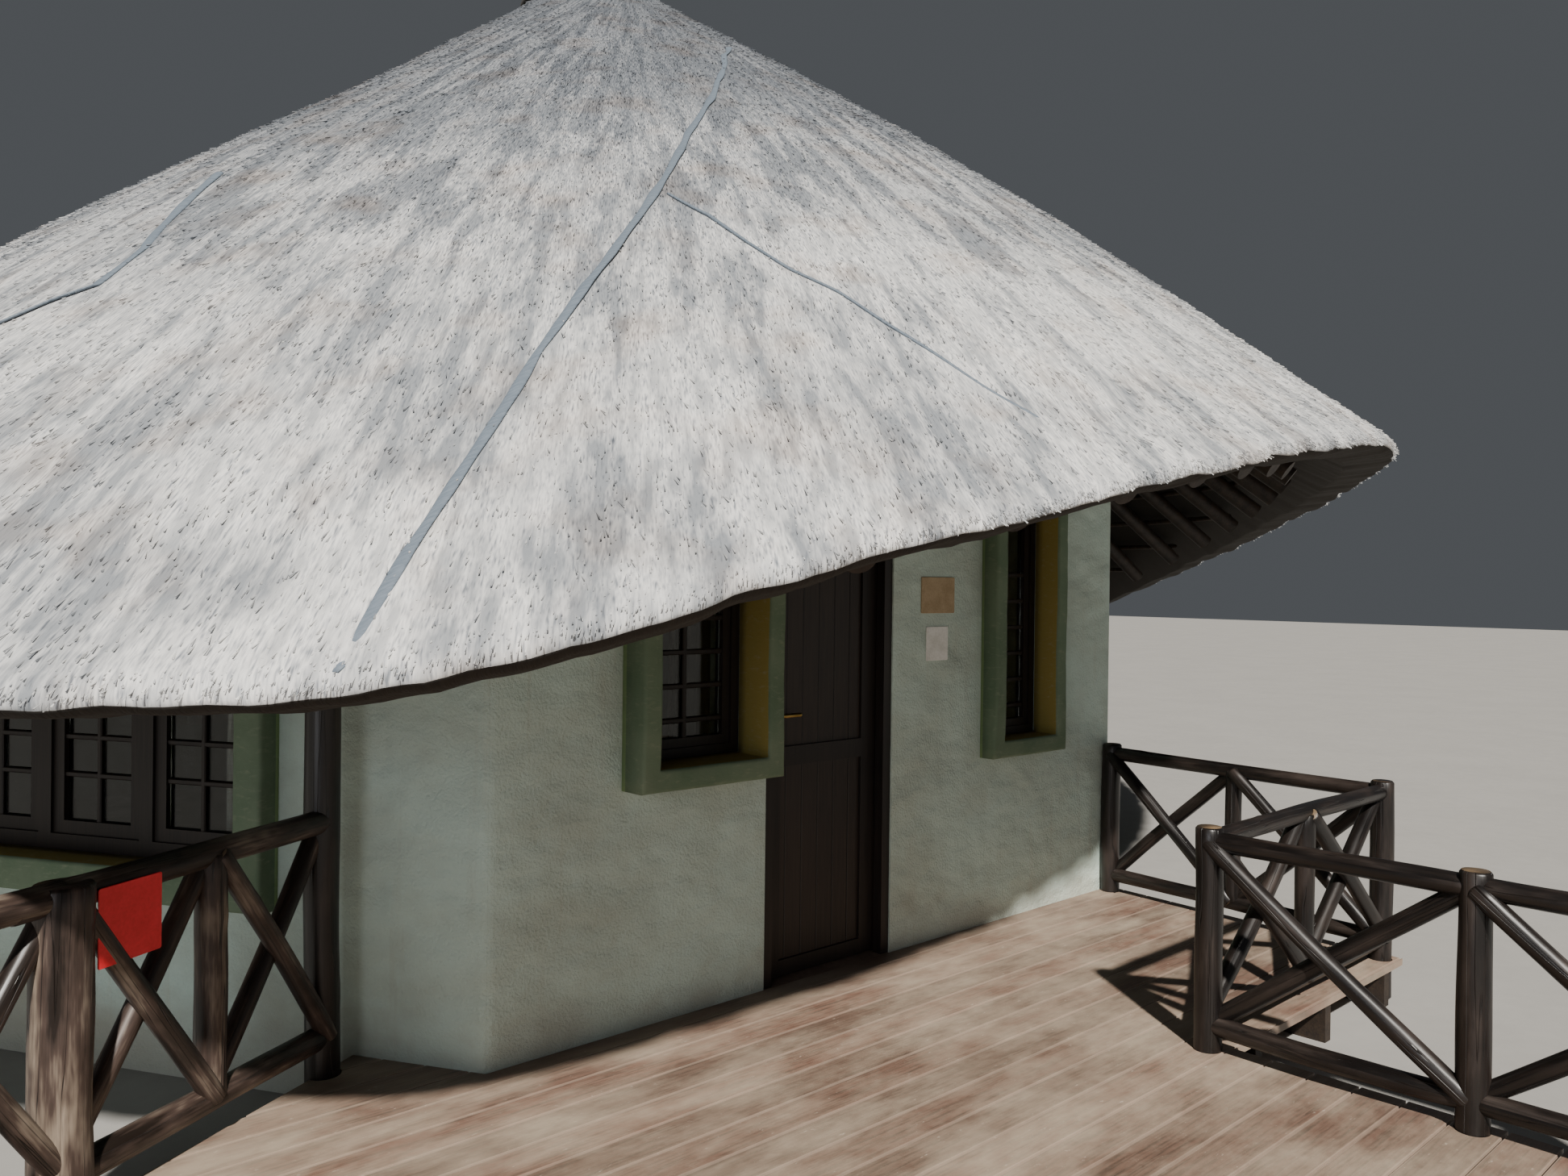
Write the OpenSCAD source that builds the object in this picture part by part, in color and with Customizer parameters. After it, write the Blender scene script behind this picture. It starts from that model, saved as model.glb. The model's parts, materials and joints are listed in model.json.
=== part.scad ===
// Six-sided rondavel hut with a thatched cone roof, a timber deck and pole railings.
// Millimetres, +Z up. The origin is the centre of the six walls on the ground, and the
// entrance wall faces -Y.

/* [Walls] */
// Distance from the centre to an outer corner of the walls
hex_r = 3750; // [3300:10:4300]
// Thickness of the plastered walls
wall_t = 230; // [180:5:300]
// Radius of the walls' rounded corners
corner_r = 55; // [20:5:90]
// Height of the floor and of the deck above the ground
floor_h = 170; // [130:5:260]

/* [Roof] */
// Place of the roof's point to the right of the walls' centre
roof_x = 660; // [500:10:800]
// Place of the roof's point in front of the walls' centre
roof_y = 460; // [300:10:600]
// Height of the point of the thatch above the floor
peak_h = 5420; // [5200:10:5800]
// Slope of the roof in degrees
slope = 36.2; // [35:0.1:39]
// Thickness of the thatch, square to the slope
thatch_t = 190; // [120:5:260]
// How far the thatch swells above a straight slope, half way down
thatch_swell = 175; // [100:5:220]
// Radius of the eave
eave_r = 5530; // [5300:10:5800]
// Distance from the point to the eave where it is trimmed most, beside the entrance
trim_r = 4430; // [4300:10:4600]
// Direction of that place, seen from the point
trim_turn = -65; // [-75:1:-55]
// Radius of the bow of the trimmed eave, seen from above
trim_bow_r = 6900; // [6500:50:7500]
// How far the inner edge of the eave's level cut lies below its nose
lip_drop = 40; // [20:5:90]
// Diameter of a rafter pole
rafter_d = 100; // [80:5:130]
// Number of rafters, a multiple of four
rafter_count = 48; // [40:4:48]
// Distance of the rafter ends behind the eave
rafter_back = 500; // [400:10:600]
// Diameter of a batten
batten_d = 36; // [25:1:50]
// Distance between two battens, along the slope
batten_pitch = 300; // [250:10:450]
// Radius of the block under the point, where the long rafters meet
peak_block_r = 210; // [200:5:280]
// Height of that block
peak_block_h = 330; // [280:10:420]
// Radius from which the short rafters start
short_rafter_r = 900; // [850:10:1000]
// Radius of the cap over the point
cap_r = 720; // [500:10:850]
// Thickness of that cap
cap_t = 60; // [40:5:90]

/* [Small windows] */
// Width of the window left of the door, inside its surround
left_w = 515; // [420:5:560]
// Width of the window right of the door, inside its surround
right_w = 420; // [380:5:500]
// Height of the left window's sill above the floor
left_sill = 955; // [900:5:1050]
// Height of the right window's sill above the floor
right_sill = 885; // [850:5:1050]
// Height of the small windows' heads above the floor
window_head = 2000; // [1900:5:2060]
// Centre of the window left of the door, from the wall's centre
left_window_x = -1003; // [-1050:1:-980]
// Centre of the window right of the door, from the wall's centre
right_window_x = 1033; // [950:1:1100]

/* [Wide windows] */
// Width of a wide window, inside its surround
wide_w = 1960; // [1800:10:2100]
// Centre of a wide window, from the wall's centre
wide_x = -45; // [-60:5:60]
// Height of a wide window's sill above the floor
wide_sill = 590; // [500:5:700]
// Distance of a wide window's head below the point of the thatch, so that it stays under the rafters
wide_drop = 3600; // [3580:5:3720]
// Number of lights in a wide window
light_count = 4; // [2:1:4]
// Width of a wide window's frame members
wide_frame_w = 60; // [50:1:75]
// Width of a wide window's sash members
wide_sash_w = 50; // [40:1:60]

/* [Window joinery] */
// How far the left window's plaster surround stands out of the wall
left_out = 140; // [80:5:180]
// How far the other plaster surrounds stand out of the wall
surround_out = 100; // [60:5:140]
// Width of the small windows' surrounds
surround_band = 85; // [70:5:100]
// Width of the wide windows' surrounds
wide_band = 125; // [90:5:140]
// Distance of the window frames behind the wall's face
frame_back = 50; // [30:5:80]
// Depth of a window frame
frame_depth = 70; // [50:5:90]
// Width of a small window's frame members
frame_w = 40; // [35:1:60]
// Width of a small window's sash members
sash_w = 36; // [30:1:50]
// Depth of a sash
sash_depth = 46; // [36:1:50]
// Thickness of the glass
glass_t = 6; // [4:1:10]

/* [Door] */
// Width of the doorway in the wall
door_w = 750; // [730:5:800]
// Height of the doorway above the floor
door_h = 2080; // [1980:5:2150]
// Centre of the doorway, from the wall's centre
door_x = -265; // [-280:5:-200]
// Width of the door frame's posts and head
jamb_w = 35; // [30:1:50]
// Distance of the door frame behind the wall's face
jamb_back = 8; // [5:1:40]
// Depth of the door frame
jamb_depth = 96; // [85:1:110]
// Width of the stop that the leaf closes on
stop_w = 14; // [10:1:20]
// Thickness of the door leaf
leaf_t = 44; // [38:1:50]
// Gap round the door leaf
leaf_gap = 5; // [5:0.5:8]
// Gap under the door leaf
leaf_foot = 10; // [8:1:20]
// Width of the leaf's stiles
stile_w = 95; // [80:1:110]
// Height of the leaf's top and middle rails
rail_h = 80; // [70:1:110]
// Height of the leaf's bottom rail
foot_rail_h = 65; // [50:1:120]
// Height of the middle rail's centre above the floor
middle_rail_z = 912; // [850:1:1000]
// Thickness of the two panels
panel_t = 22; // [16:1:30]
// Height of the lever above the floor
lever_z = 1085; // [1000:5:1150]
// Length of the lever
lever_l = 115; // [90:1:140]
// Diameter of the lever
lever_d = 18; // [14:1:22]
// Number of hinges
hinge_count = 3; // [2:1:3]
// Length of a hinge
hinge_l = 100; // [80:5:120]
// Radius of a hinge's knuckles
knuckle_r = 8; // [7:0.5:10]
// Radius of a hinge's pin
pin_r = 4; // [3:0.5:5]

/* [Deck and railings] */
// Diameter of the post that carries the roof
roof_post_d = 115; // [100:5:140]
// Distance of the roof post's axis in front of the wall beside it
roof_post_out = 163; // [120:1:200]
// Distance of the left railing from the middle of that wall
left_line = 1370; // [1300:5:1500]
// Length of a bay of the left railing
left_bay = 1000; // [950:10:1150]
// Number of bays of the left railing that run straight out
left_bays = 2; // [2:1:2]
// Diameter of a post of the left railing
post_d = 155; // [120:5:170]
// Height of a post of the left railing above the deck
post_h = 860; // [840:5:950]
// Height of the left top rail's axis above the deck
top_rail_z = 830; // [760:5:880]
// Height of the left low rail's axis above the deck
low_rail_z = 125; // [110:5:200]
// Diameter of a rail of the left railing
rail_d = 80; // [60:5:90]
// Diameter of a post of the right railing
right_post_d = 100; // [90:5:120]
// Height of a post of the right railing above the deck
right_post_h = 785; // [770:5:850]
// Height of the right top rail's axis above the deck
right_top_z = 735; // [700:5:760]
// Height of the right low rail's axis above the deck
right_low_z = 90; // [80:5:150]
// Diameter of a rail of the right railing
right_rail_d = 70; // [60:5:80]
// Diameter of a brace
brace_d = 50; // [40:5:60]
// Where the right railing stands beside the walkway
walk_right = 130; // [0:10:200]
// Length of a bay of the railing beside the walkway
walk_bay = 850; // [800:10:950]
// Number of its bays
walk_bays = 2; // [2:1:2]
// Where the side bay's outer corner post stands
bay_right = 1690; // [1600:10:1800]
// Distance from the centre to the front of the side bay
bay_front = 4730; // [4600:10:4900]
// Width of a deck board
board_w = 137; // [110:1:150]
// Gap between two boards
board_gap = 8; // [5:1:12]
// Thickness of the boards
board_t = 28; // [22:1:38]
// Width of a joist
joist_w = 50; // [40:5:75]
// Distance between two joists
joist_pitch = 600; // [450:10:700]

/* [Hidden] */
$fn = 96;
// Gap between round pieces that rest on each other
seat = 0.3;
// Corner angle of one wall, seen from the centre
turn = 60;
apothem = hex_r * cos(turn / 2);
inner_r = hex_r - wall_t / cos(turn / 2);
// Shortening of a wall at each end, for a gap of "seat" at the mitres
mitre_gap = seat / 2 / cos(turn / 2);
// How far a cut runs past the piece that it cuts
past = 40;
peak_z = floor_h + peak_h;
// Height of a wide window's head above the floor
wide_head = peak_h - wide_drop;
// Depths below the thatch's straight slope, square to it
batten_deep = thatch_t + seat + batten_d / 2;
rafter_deep = thatch_t + batten_d + 2 * seat + rafter_d / 2;
wall_deep = thatch_t + batten_d + rafter_d + 3 * seat;

// Height of a cone that lies "deep" under the straight slope, at distance r from the point
function roof_z(r, deep = 0) = peak_z - r * tan(slope) - deep / cos(slope);

// Places of the posts
function left_point(out) = [
    -cos(turn / 2) * (apothem + out) + sin(turn / 2) * left_line,
    -sin(turn / 2) * (apothem + out) - cos(turn / 2) * left_line];
roof_post = left_point(roof_post_out);
left_posts = [for (i = [1:left_bays]) left_point(roof_post_out + i * left_bay)];
corner_post = left_posts[left_bays - 1];
walk_posts = [for (i = [0:walk_bays]) [walk_right, -bay_front - i * walk_bay]];
front_y = walk_posts[walk_bays][1];
edge_posts = [for (i = [1:2]) [corner_post[0], corner_post[1] + i * (front_y - corner_post[1]) / 2]];
bay_post = [bay_right, -bay_front];
wall_post = [hex_r / 2 - right_post_d / 2, -apothem - right_post_d / 2 - seat];
big_posts = concat(left_posts, edge_posts);
small_posts = concat(walk_posts, [bay_post, wall_post]);
deck_front = -front_y + post_d / 2 + 20;
// A rafter runs over the roof post
rafter_turn = atan2(roof_post[1] + roof_y, roof_post[0] - roof_x);

leaf_w = door_w - 2 * jamb_w - 2 * leaf_gap;
leaf_h = door_h - jamb_w - leaf_gap - leaf_foot;
// Depths in the wall, from its outer face
leaf_back = jamb_back + jamb_depth - leaf_t;
pin_x = door_x + door_w / 2 - jamb_w - leaf_gap / 2;
pin_back = jamb_back + jamb_depth + knuckle_r + 1;
hinge_plate = [23, 3];
knuckle_gap = 1;
knuckle_l = (hinge_l - 2 * knuckle_gap) / 3;

// Six-sided outline with corners at radius r
module hexagon(r) {
    polygon([for (i = [0:5]) r * [cos(turn * i), sin(turn * i)]]);
}

// Puts a piece under the roof's point
module at_point() {
    translate([roof_x, -roof_y, 0]) children();
}

// Everything under a cone that lies "deep" under the straight slope
module under_roof(deep) {
    top = roof_z(0, deep);
    at_point() cylinder(h = top, r1 = top / tan(slope), r2 = 0, $fn = 720);
}

// Outline of the roof from above, "back" inside the eave: a circle, trimmed on one side by a bow
module eave_prism(back) {
    at_point() intersection() {
        cylinder(h = peak_z, r = eave_r - back, $fn = 360);
        rotate([0, 0, trim_turn]) translate([trim_r - trim_bow_r, 0, 0])
            cylinder(h = peak_z, r = trim_bow_r - back, $fn = 720);
    }
}

// Distance from the point to the eave in direction a
function eave_at(a) =
    let (c = trim_bow_r - trim_r, b = a - trim_turn)
    min(eave_r, sqrt(pow(trim_bow_r, 2) - pow(c * sin(b), 2)) - c * cos(b));

// Puts a piece on wall "side", x along the wall from its middle, y inwards, z from the floor
module on_wall(side) {
    rotate([0, 0, side * turn]) translate([0, -apothem, floor_h]) children();
}

// Half of a rounded corner at the end of a wall's outer face, on side s, as points
function corner_arc(s) = [for (b = [0:turn / 6:turn / 2])
    [s * (hex_r / 2 - mitre_gap - corner_r * tan(turn / 2) + corner_r * sin(b)),
        corner_r * (1 - cos(b)) - apothem]];

// One wall from the ground to the rafters, mitred and rounded at its corners
module wall(side) {
    end = inner_r / 2 - mitre_gap;
    inside = inner_r * cos(turn / 2);
    right = corner_arc(1);
    left = corner_arc(-1);
    intersection() {
        rotate([0, 0, side * turn]) linear_extrude(peak_z)
            polygon(concat([for (i = [len(left) - 1:-1:0]) left[i]], right,
                [[end, -inside], [-end, -inside]]));
        under_roof(wall_deep);
    }
}

// Hole of a window through a wall
module window_hole(x, w, sill, head) {
    translate([x - w / 2, -past, sill]) cube([w, wall_t + 2 * past, head - sill]);
}

module front_wall_part(x0, x1, z0) {
    translate([x0, -past, z0 - floor_h]) cube([x1 - x0, wall_t + 2 * past, peak_z]);
}

module front_wall_left() {
    color("gainsboro") difference() {
        intersection() {
            wall(0);
            on_wall(0) front_wall_part(-hex_r, door_x - door_w / 2, 0);
        }
        on_wall(0) window_hole(left_window_x, left_w, left_sill, window_head);
    }
}

module front_wall_right() {
    color("gainsboro") difference() {
        intersection() {
            wall(0);
            on_wall(0) front_wall_part(door_x + door_w / 2, hex_r, 0);
        }
        on_wall(0) window_hole(right_window_x, right_w, right_sill, window_head);
    }
}

module front_wall_over_door() {
    color("gainsboro") intersection() {
        wall(0);
        on_wall(0) front_wall_part(door_x - door_w / 2, door_x + door_w / 2, floor_h + door_h);
    }
}

module plain_wall(side) {
    color("gainsboro") wall(side);
}

module window_wall(side) {
    color("gainsboro") difference() {
        wall(side);
        on_wall(side) window_hole(wide_x, wide_w, wide_sill, wide_head);
    }
}

// Plaster band round a window, with bands of width "band" that stand out by "out"
module surround(side, x, w, sill, head, band, out) {
    color("darkkhaki") on_wall(side) difference() {
        translate([x - w / 2 - band, -out, sill - band])
            cube([w + 2 * band, out, head - sill + 2 * band]);
        translate([x - w / 2, -out - past, sill])
            cube([w, out + 2 * past, head - sill]);
    }
}

// Frame of a window with its lights, each with a sash; the members are fw and sw wide
module window_frame(side, x, w, sill, head, lights, fw, sw) {
    h = head - sill;
    light_w = (w - (lights + 1) * fw) / lights;
    light_h = h - 2 * fw;
    color("saddlebrown") on_wall(side) translate([x - w / 2, frame_back, sill]) difference() {
        cube([w, frame_depth, h]);
        for (i = [0:lights - 1]) translate([fw + i * (light_w + fw), 0, fw]) {
            translate([0, -past, 0]) cube([light_w, past + (frame_depth - sash_depth) / 2, light_h]);
            translate([0, (frame_depth + sash_depth) / 2, 0]) cube([light_w, past, light_h]);
            translate([sw, -past, sw])
                cube([light_w - 2 * sw, frame_depth + 2 * past, light_h - 2 * sw]);
        }
    }
}

// Panes of a window
module window_panes(side, x, w, sill, head, lights, fw, sw) {
    h = head - sill;
    light_w = (w - (lights + 1) * fw) / lights;
    edge = sw + seat;
    color("lightblue", 0.4) on_wall(side)
        translate([x - w / 2, frame_back + (frame_depth - glass_t) / 2, sill])
        for (i = [0:lights - 1]) translate([fw + i * (light_w + fw) + edge, 0, fw + edge])
            cube([light_w - 2 * edge, glass_t, h - 2 * fw - 2 * edge]);
}

module wide_frame(side) {
    window_frame(side, wide_x, wide_w, wide_sill, wide_head, light_count, wide_frame_w, wide_sash_w);
}

module wide_panes(side) {
    window_panes(side, wide_x, wide_w, wide_sill, wide_head, light_count, wide_frame_w, wide_sash_w);
}

module wide_surround(side) {
    surround(side, wide_x, wide_w, wide_sill, wide_head, wide_band, surround_out);
}

module floor_slab() {
    color("rosybrown") linear_extrude(floor_h) hexagon(inner_r);
}

module door_threshold() {
    color("rosybrown") on_wall(0) translate([door_x - door_w / 2, 0, -floor_h])
        cube([door_w, wall_t, floor_h]);
}

module door_frame() {
    color("saddlebrown") on_wall(0) translate([door_x, jamb_back, 0]) difference() {
        translate([-door_w / 2, 0, 0]) cube([door_w, jamb_depth, door_h]);
        translate([-door_w / 2 + jamb_w, jamb_depth - leaf_t - leaf_gap, -past])
            cube([door_w - 2 * jamb_w, jamb_depth, door_h - jamb_w + past]);
        translate([-door_w / 2 + jamb_w + stop_w, -past, -past])
            cube([door_w - 2 * (jamb_w + stop_w), jamb_depth + 2 * past, door_h - jamb_w - stop_w + past]);
    }
}

module in_leaf() {
    on_wall(0) translate([door_x - leaf_w / 2, leaf_back, leaf_foot]) children();
}

// Holes of the two panels in the leaf, smaller by "edge"
module panel_spaces(edge, y, t) {
    mid = middle_rail_z - leaf_foot;
    translate([stile_w + edge, y, foot_rail_h + edge])
        cube([leaf_w - 2 * stile_w - 2 * edge, t, mid - rail_h / 2 - foot_rail_h - 2 * edge]);
    translate([stile_w + edge, y, mid + rail_h / 2 + edge])
        cube([leaf_w - 2 * stile_w - 2 * edge, t, leaf_h - rail_h - mid - rail_h / 2 - 2 * edge]);
}

module door_leaf() {
    color("saddlebrown") in_leaf() difference() {
        cube([leaf_w, leaf_t, leaf_h]);
        panel_spaces(0, -past, leaf_t + 2 * past);
    }
}

module door_panels() {
    color("peru") in_leaf() panel_spaces(seat, (leaf_t - panel_t) / 2, panel_t);
}

// One side of the lever set, standing out along -Y
module lever_side() {
    rose_r = 26;
    rose_t = 8;
    neck = 42;
    rotate([90, 0, 0]) {
        cylinder(h = rose_t, r = rose_r);
        cylinder(h = neck, r = lever_d / 2);
    }
    translate([0, -neck, 0]) {
        rotate([0, 90, 0]) cylinder(h = lever_l, r = lever_d / 2);
        sphere(r = lever_d / 2);
        translate([lever_l, 0, 0]) sphere(r = lever_d / 2);
    }
}

module door_lever() {
    color("gold") in_leaf() translate([stile_w / 2, 0, lever_z - leaf_foot]) {
        lever_side();
        translate([0, leaf_t, 0]) mirror([0, 1, 0]) lever_side();
    }
}

// Heights of the hinges' feet above the floor
hinge_feet = [for (i = [0:hinge_count - 1])
    leaf_foot + 180 + i * (leaf_h - 360 - hinge_l) / (hinge_count - 1)];

module at_pin(z) {
    on_wall(0) translate([pin_x, pin_back, z]) children();
}

// Plate and tabs of one side of a hinge, to +X of the pin
module hinge_side(tabs) {
    face = -knuckle_r - 1;
    translate([knuckle_r + 2, face, 0]) cube([hinge_plate[0], hinge_plate[1], hinge_l]);
    for (i = tabs) translate([0, 0, i * (knuckle_l + knuckle_gap)]) {
        translate([0, face, 0]) cube([knuckle_r + 3, hinge_plate[1], knuckle_l]);
        cylinder(h = knuckle_l, r = knuckle_r);
    }
}

module hinge_pins() {
    color("dimgray") for (z = hinge_feet) at_pin(z) {
        hinge_side([0, 2]);
        cylinder(h = hinge_l, r = pin_r);
    }
}

module hinge_knuckles() {
    color("dimgray") for (z = hinge_feet) at_pin(z) difference() {
        mirror([1, 0, 0]) hinge_side([1]);
        translate([0, 0, -past]) cylinder(h = hinge_l + 2 * past, r = pin_r + 0.1);
    }
}

// Height of the thatch's back at distance r from the point
function back_z(r) = roof_z(r) + thatch_swell * sin(180 * r / eave_r);

// Outline of the thatch: a swelling back, an almost level cut at the eave and a straight underside
thatch_steps = 10;
thatch_back = [for (i = [0:thatch_steps]) let (r = eave_r * i / thatch_steps) [r, back_z(r)]];
lip_run = (thatch_t / cos(slope) - lip_drop) / tan(slope);
thatch_lip = [eave_r - lip_run, roof_z(eave_r) - lip_drop];
// Where the trimming bow meets the round eave, seen along the direction in which it trims most
trim_from = (pow(trim_bow_r, 2) - pow(eave_r, 2) - pow(trim_bow_r - trim_r, 2)) / (trim_bow_r - trim_r) / 2;

// Everything above the slanting plane on which the trimmed eave is cut
module above_trim() {
    tilt = atan((back_z(trim_r) - roof_z(eave_r)) / (trim_r - trim_from));
    at_point() rotate([0, 0, trim_turn]) translate([trim_r, 0, back_z(trim_r) - lip_drop])
        rotate([0, -tilt, 0]) translate([-3 * eave_r, -2 * eave_r, 0])
            cube([4 * eave_r, 4 * eave_r, 2 * peak_z]);
}

module thatch() {
    color("darkgray") intersection() {
        at_point() rotate_extrude($fn = 360)
            polygon(concat(thatch_back, [thatch_lip, [0, roof_z(0, thatch_t)]]));
        eave_prism(0);
        above_trim();
    }
}

// Cap that lies on the thatch round the point
module ridge_cap() {
    rise = back_z(cap_r) - roof_z(cap_r) + seat / cos(slope);
    foot = roof_z(cap_r) + rise;
    color("dimgray") at_point() rotate_extrude() polygon([[0, peak_z + rise], [cap_r, foot],
        [cap_r, foot + cap_t / 2], [cap_r / 2, (foot + peak_z + rise) / 2 + cap_t],
        [0, peak_z + rise + cap_t]]);
}

module battens() {
    step = batten_pitch * cos(slope);
    first = peak_block_r + 2 * batten_d;
    color("tan") intersection() {
        at_point() for (r = [first:step:eave_r - rafter_back - batten_d])
            rotate_extrude() translate([r, roof_z(r, batten_deep)]) circle(d = batten_d, $fn = 8);
        eave_prism(rafter_back);
    }
}

// Direction of rafter i
function rafter_way(i) = rafter_turn + i * 360 / rafter_count;

// Pole under the roof in direction a, from radius r0 to just behind the eave
module rafter(a, r0) {
    long = (eave_at(a) - rafter_back - r0) / cos(slope);
    at_point() rotate([0, 0, a]) translate([r0, 0, roof_z(r0, rafter_deep)])
        rotate([0, 90 + slope, 0]) cylinder(h = long, d = rafter_d, $fn = 32);
}

module long_rafters() {
    color("sienna") difference() {
        for (i = [0:4:rafter_count - 1]) rafter(rafter_way(i), peak_block_r / 2);
        at_point() translate([0, 0, floor_h]) cylinder(h = peak_z, r = peak_block_r + seat);
    }
}

module short_rafters() {
    color("sienna") for (i = [0:rafter_count - 1]) if (i % 4 != 0)
        rafter(rafter_way(i), short_rafter_r);
}

module peak_block() {
    color("sienna") intersection() {
        at_point() translate([0, 0, roof_z(peak_block_r, rafter_deep) - peak_block_h / 2])
            cylinder(h = peak_block_h, r = peak_block_r);
        under_roof(thatch_t + seat);
    }
}

module roof_post_pole() {
    color("sienna") difference() {
        intersection() {
            translate([roof_post[0], roof_post[1], 0]) cylinder(h = peak_z, d = roof_post_d);
            under_roof(rafter_deep);
        }
        at_point() rotate([0, 0, rafter_turn]) translate([0, 0, roof_z(0, rafter_deep)])
            rotate([0, 90 + slope, 0]) cylinder(h = 2 * eave_r, d = rafter_d + 2 * seat);
    }
}

// Posts of diameter d at places p, up to height h above the deck
module posts(p, d, h) {
    chamfer = d / 8;
    color("sienna") for (q = p) translate([q[0], q[1], 0]) {
        cylinder(h = floor_h + h - chamfer, d = d);
        translate([0, 0, floor_h + h - chamfer])
            cylinder(h = chamfer, d1 = d, d2 = d - 2 * chamfer);
    }
}

// A pole with twelve hewn sides, of diameter d, from point a to point b
module pole(a, b, d) {
    v = b - a;
    l = norm(v);
    translate(a) rotate([0, acos(v[2] / l), atan2(v[1], v[0])]) cylinder(h = l, d = d, $fn = 12);
}

// One bay of railing between places p and q: rails of diameter d at heights low and top,
// and crossed braces in "crosses" parts with uprights between them; dp and dq are the posts'
module bay(p, q, dp, dq, d, low, top, crosses) {
    a = [p[0], p[1], floor_h];
    b = [q[0], q[1], floor_h];
    side = [-(b - a)[1], (b - a)[0], 0] / norm(b - a) * 0.3 * brace_d;
    foot = [0, 0, low];
    head = [0, 0, top];
    color("sienna") difference() {
        union() {
            pole(a + foot, b + foot, d);
            pole(a + head, b + head, d);
            for (i = [0:crosses - 1]) {
                m = a + (b - a) * i / crosses;
                n = a + (b - a) * (i + 1) / crosses;
                pole(m + foot + side, n + head + side, brace_d);
                pole(m + head - side, n + foot - side, brace_d);
                if (i > 0) pole(m + foot, m + head, d);
            }
        }
        translate([p[0], p[1], 0]) cylinder(h = peak_z, d = dp + 2 * seat);
        translate([q[0], q[1], 0]) cylinder(h = peak_z, d = dq + 2 * seat);
    }
}

module left_bay_between(p, q, dp = post_d) {
    bay(p, q, dp, post_d, rail_d, low_rail_z, top_rail_z, 2);
}

module right_bay_between(p, q, crosses) {
    bay(p, q, right_post_d, right_post_d, right_rail_d, right_low_z, right_top_z, crosses);
}

module left_railing() {
    left_bay_between(roof_post, left_posts[0], roof_post_d);
    left_bay_between(left_posts[0], corner_post);
}

module edge_railing() {
    left_bay_between(corner_post, edge_posts[0]);
    left_bay_between(edge_posts[0], edge_posts[1]);
}

module walk_railing() {
    for (i = [1:walk_bays]) right_bay_between(walk_posts[i - 1], walk_posts[i], 1);
}

// Outline of the deck
module deck_outline() {
    reach = post_d / 2 + 20;
    edge = right_post_d / 2 + 20;
    difference() {
        polygon([left_point(-wall_t), left_point(roof_post_out + left_bays * left_bay) - [reach, 0],
            [corner_post[0] - reach, -deck_front], [walk_right + edge, -deck_front],
            [walk_right + edge, -bay_front - edge], [bay_right + edge, -bay_front - edge],
            [wall_post[0] + edge, -apothem - seat], [0, wall_t - apothem]]);
        hexagon(hex_r + seat / cos(turn / 2));
    }
}

// Holes for the posts in the deck
module post_holes() {
    for (p = big_posts) translate([p[0], p[1], -past]) cylinder(h = peak_z, d = post_d + 2 * seat);
    for (p = small_posts) translate([p[0], p[1], -past])
        cylinder(h = peak_z, d = right_post_d + 2 * seat);
    translate([roof_post[0], roof_post[1], -past])
        cylinder(h = peak_z, d = roof_post_d + 2 * seat);
}

module deck_boards() {
    pitch = board_w + board_gap;
    color("sienna") difference() {
        intersection() {
            translate([0, 0, floor_h - board_t]) linear_extrude(board_t) deck_outline();
            for (y = [-deck_front:pitch:0])
                translate([-2 * hex_r, y, 0]) cube([4 * hex_r, board_w, floor_h]);
        }
        post_holes();
    }
}

module deck_joists() {
    color("sienna") difference() {
        intersection() {
            linear_extrude(floor_h - board_t) deck_outline();
            union() {
                linear_extrude(floor_h) hexagon(hex_r + joist_w / cos(turn / 2));
                for (x = [corner_post[0] + post_d:joist_pitch:bay_right])
                    translate([x, -2 * hex_r, 0]) cube([joist_w, 3 * hex_r, floor_h]);
            }
        }
        post_holes();
    }
}

floor_slab();
front_wall_left();
front_wall_right();
front_wall_over_door();
window_wall(-1);  // left_front_wall
plain_wall(-2);  // left_rear_wall
window_wall(3);  // rear_wall
plain_wall(2);  // right_rear_wall
window_wall(1);  // right_front_wall
surround(0, left_window_x, left_w, left_sill, window_head, surround_band, left_out);  // front_left_surround
surround(0, right_window_x, right_w, right_sill, window_head, surround_band, surround_out);  // front_right_surround
wide_surround(-1);  // left_surround
wide_surround(1);  // right_surround
wide_surround(3);  // rear_surround
window_frame(0, left_window_x, left_w, left_sill, window_head, 1, frame_w, sash_w);  // front_left_window
window_frame(0, right_window_x, right_w, right_sill, window_head, 1, frame_w, sash_w);  // front_right_window
wide_frame(-1);  // left_window
wide_frame(1);  // right_window
wide_frame(3);  // rear_window
union() {  // front_glass
    window_panes(0, left_window_x, left_w, left_sill, window_head, 1, frame_w, sash_w);
    window_panes(0, right_window_x, right_w, right_sill, window_head, 1, frame_w, sash_w);
}
wide_panes(-1);  // left_glass
wide_panes(1);  // right_glass
wide_panes(3);  // rear_glass
door_frame();
door_threshold();
hinge_pins();
door_leaf();
door_panels();
door_lever();
hinge_knuckles();
thatch();
ridge_cap();
battens();
long_rafters();
short_rafters();
peak_block();
roof_post_pole();  // roof_post
posts(big_posts, post_d, post_h);  // left_posts
posts(small_posts, right_post_d, right_post_h);  // right_posts
left_railing();
edge_railing();
walk_railing();
right_bay_between(walk_posts[0], bay_post, 2);  // bay_front_railing
right_bay_between(bay_post, wall_post, 2);  // bay_side_railing
deck_boards();
deck_joists();
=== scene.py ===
"""Looks of the six-sided thatched hut: straw coat, plaster, gum poles, joinery and deck boards.

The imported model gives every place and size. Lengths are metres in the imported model's frame, whose
origin is the centre of the walls on the ground, with +Z up and the entrance wall facing -Y.
"""

import json
import logging
import math
from dataclasses import dataclass, field
from enum import Enum

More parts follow.
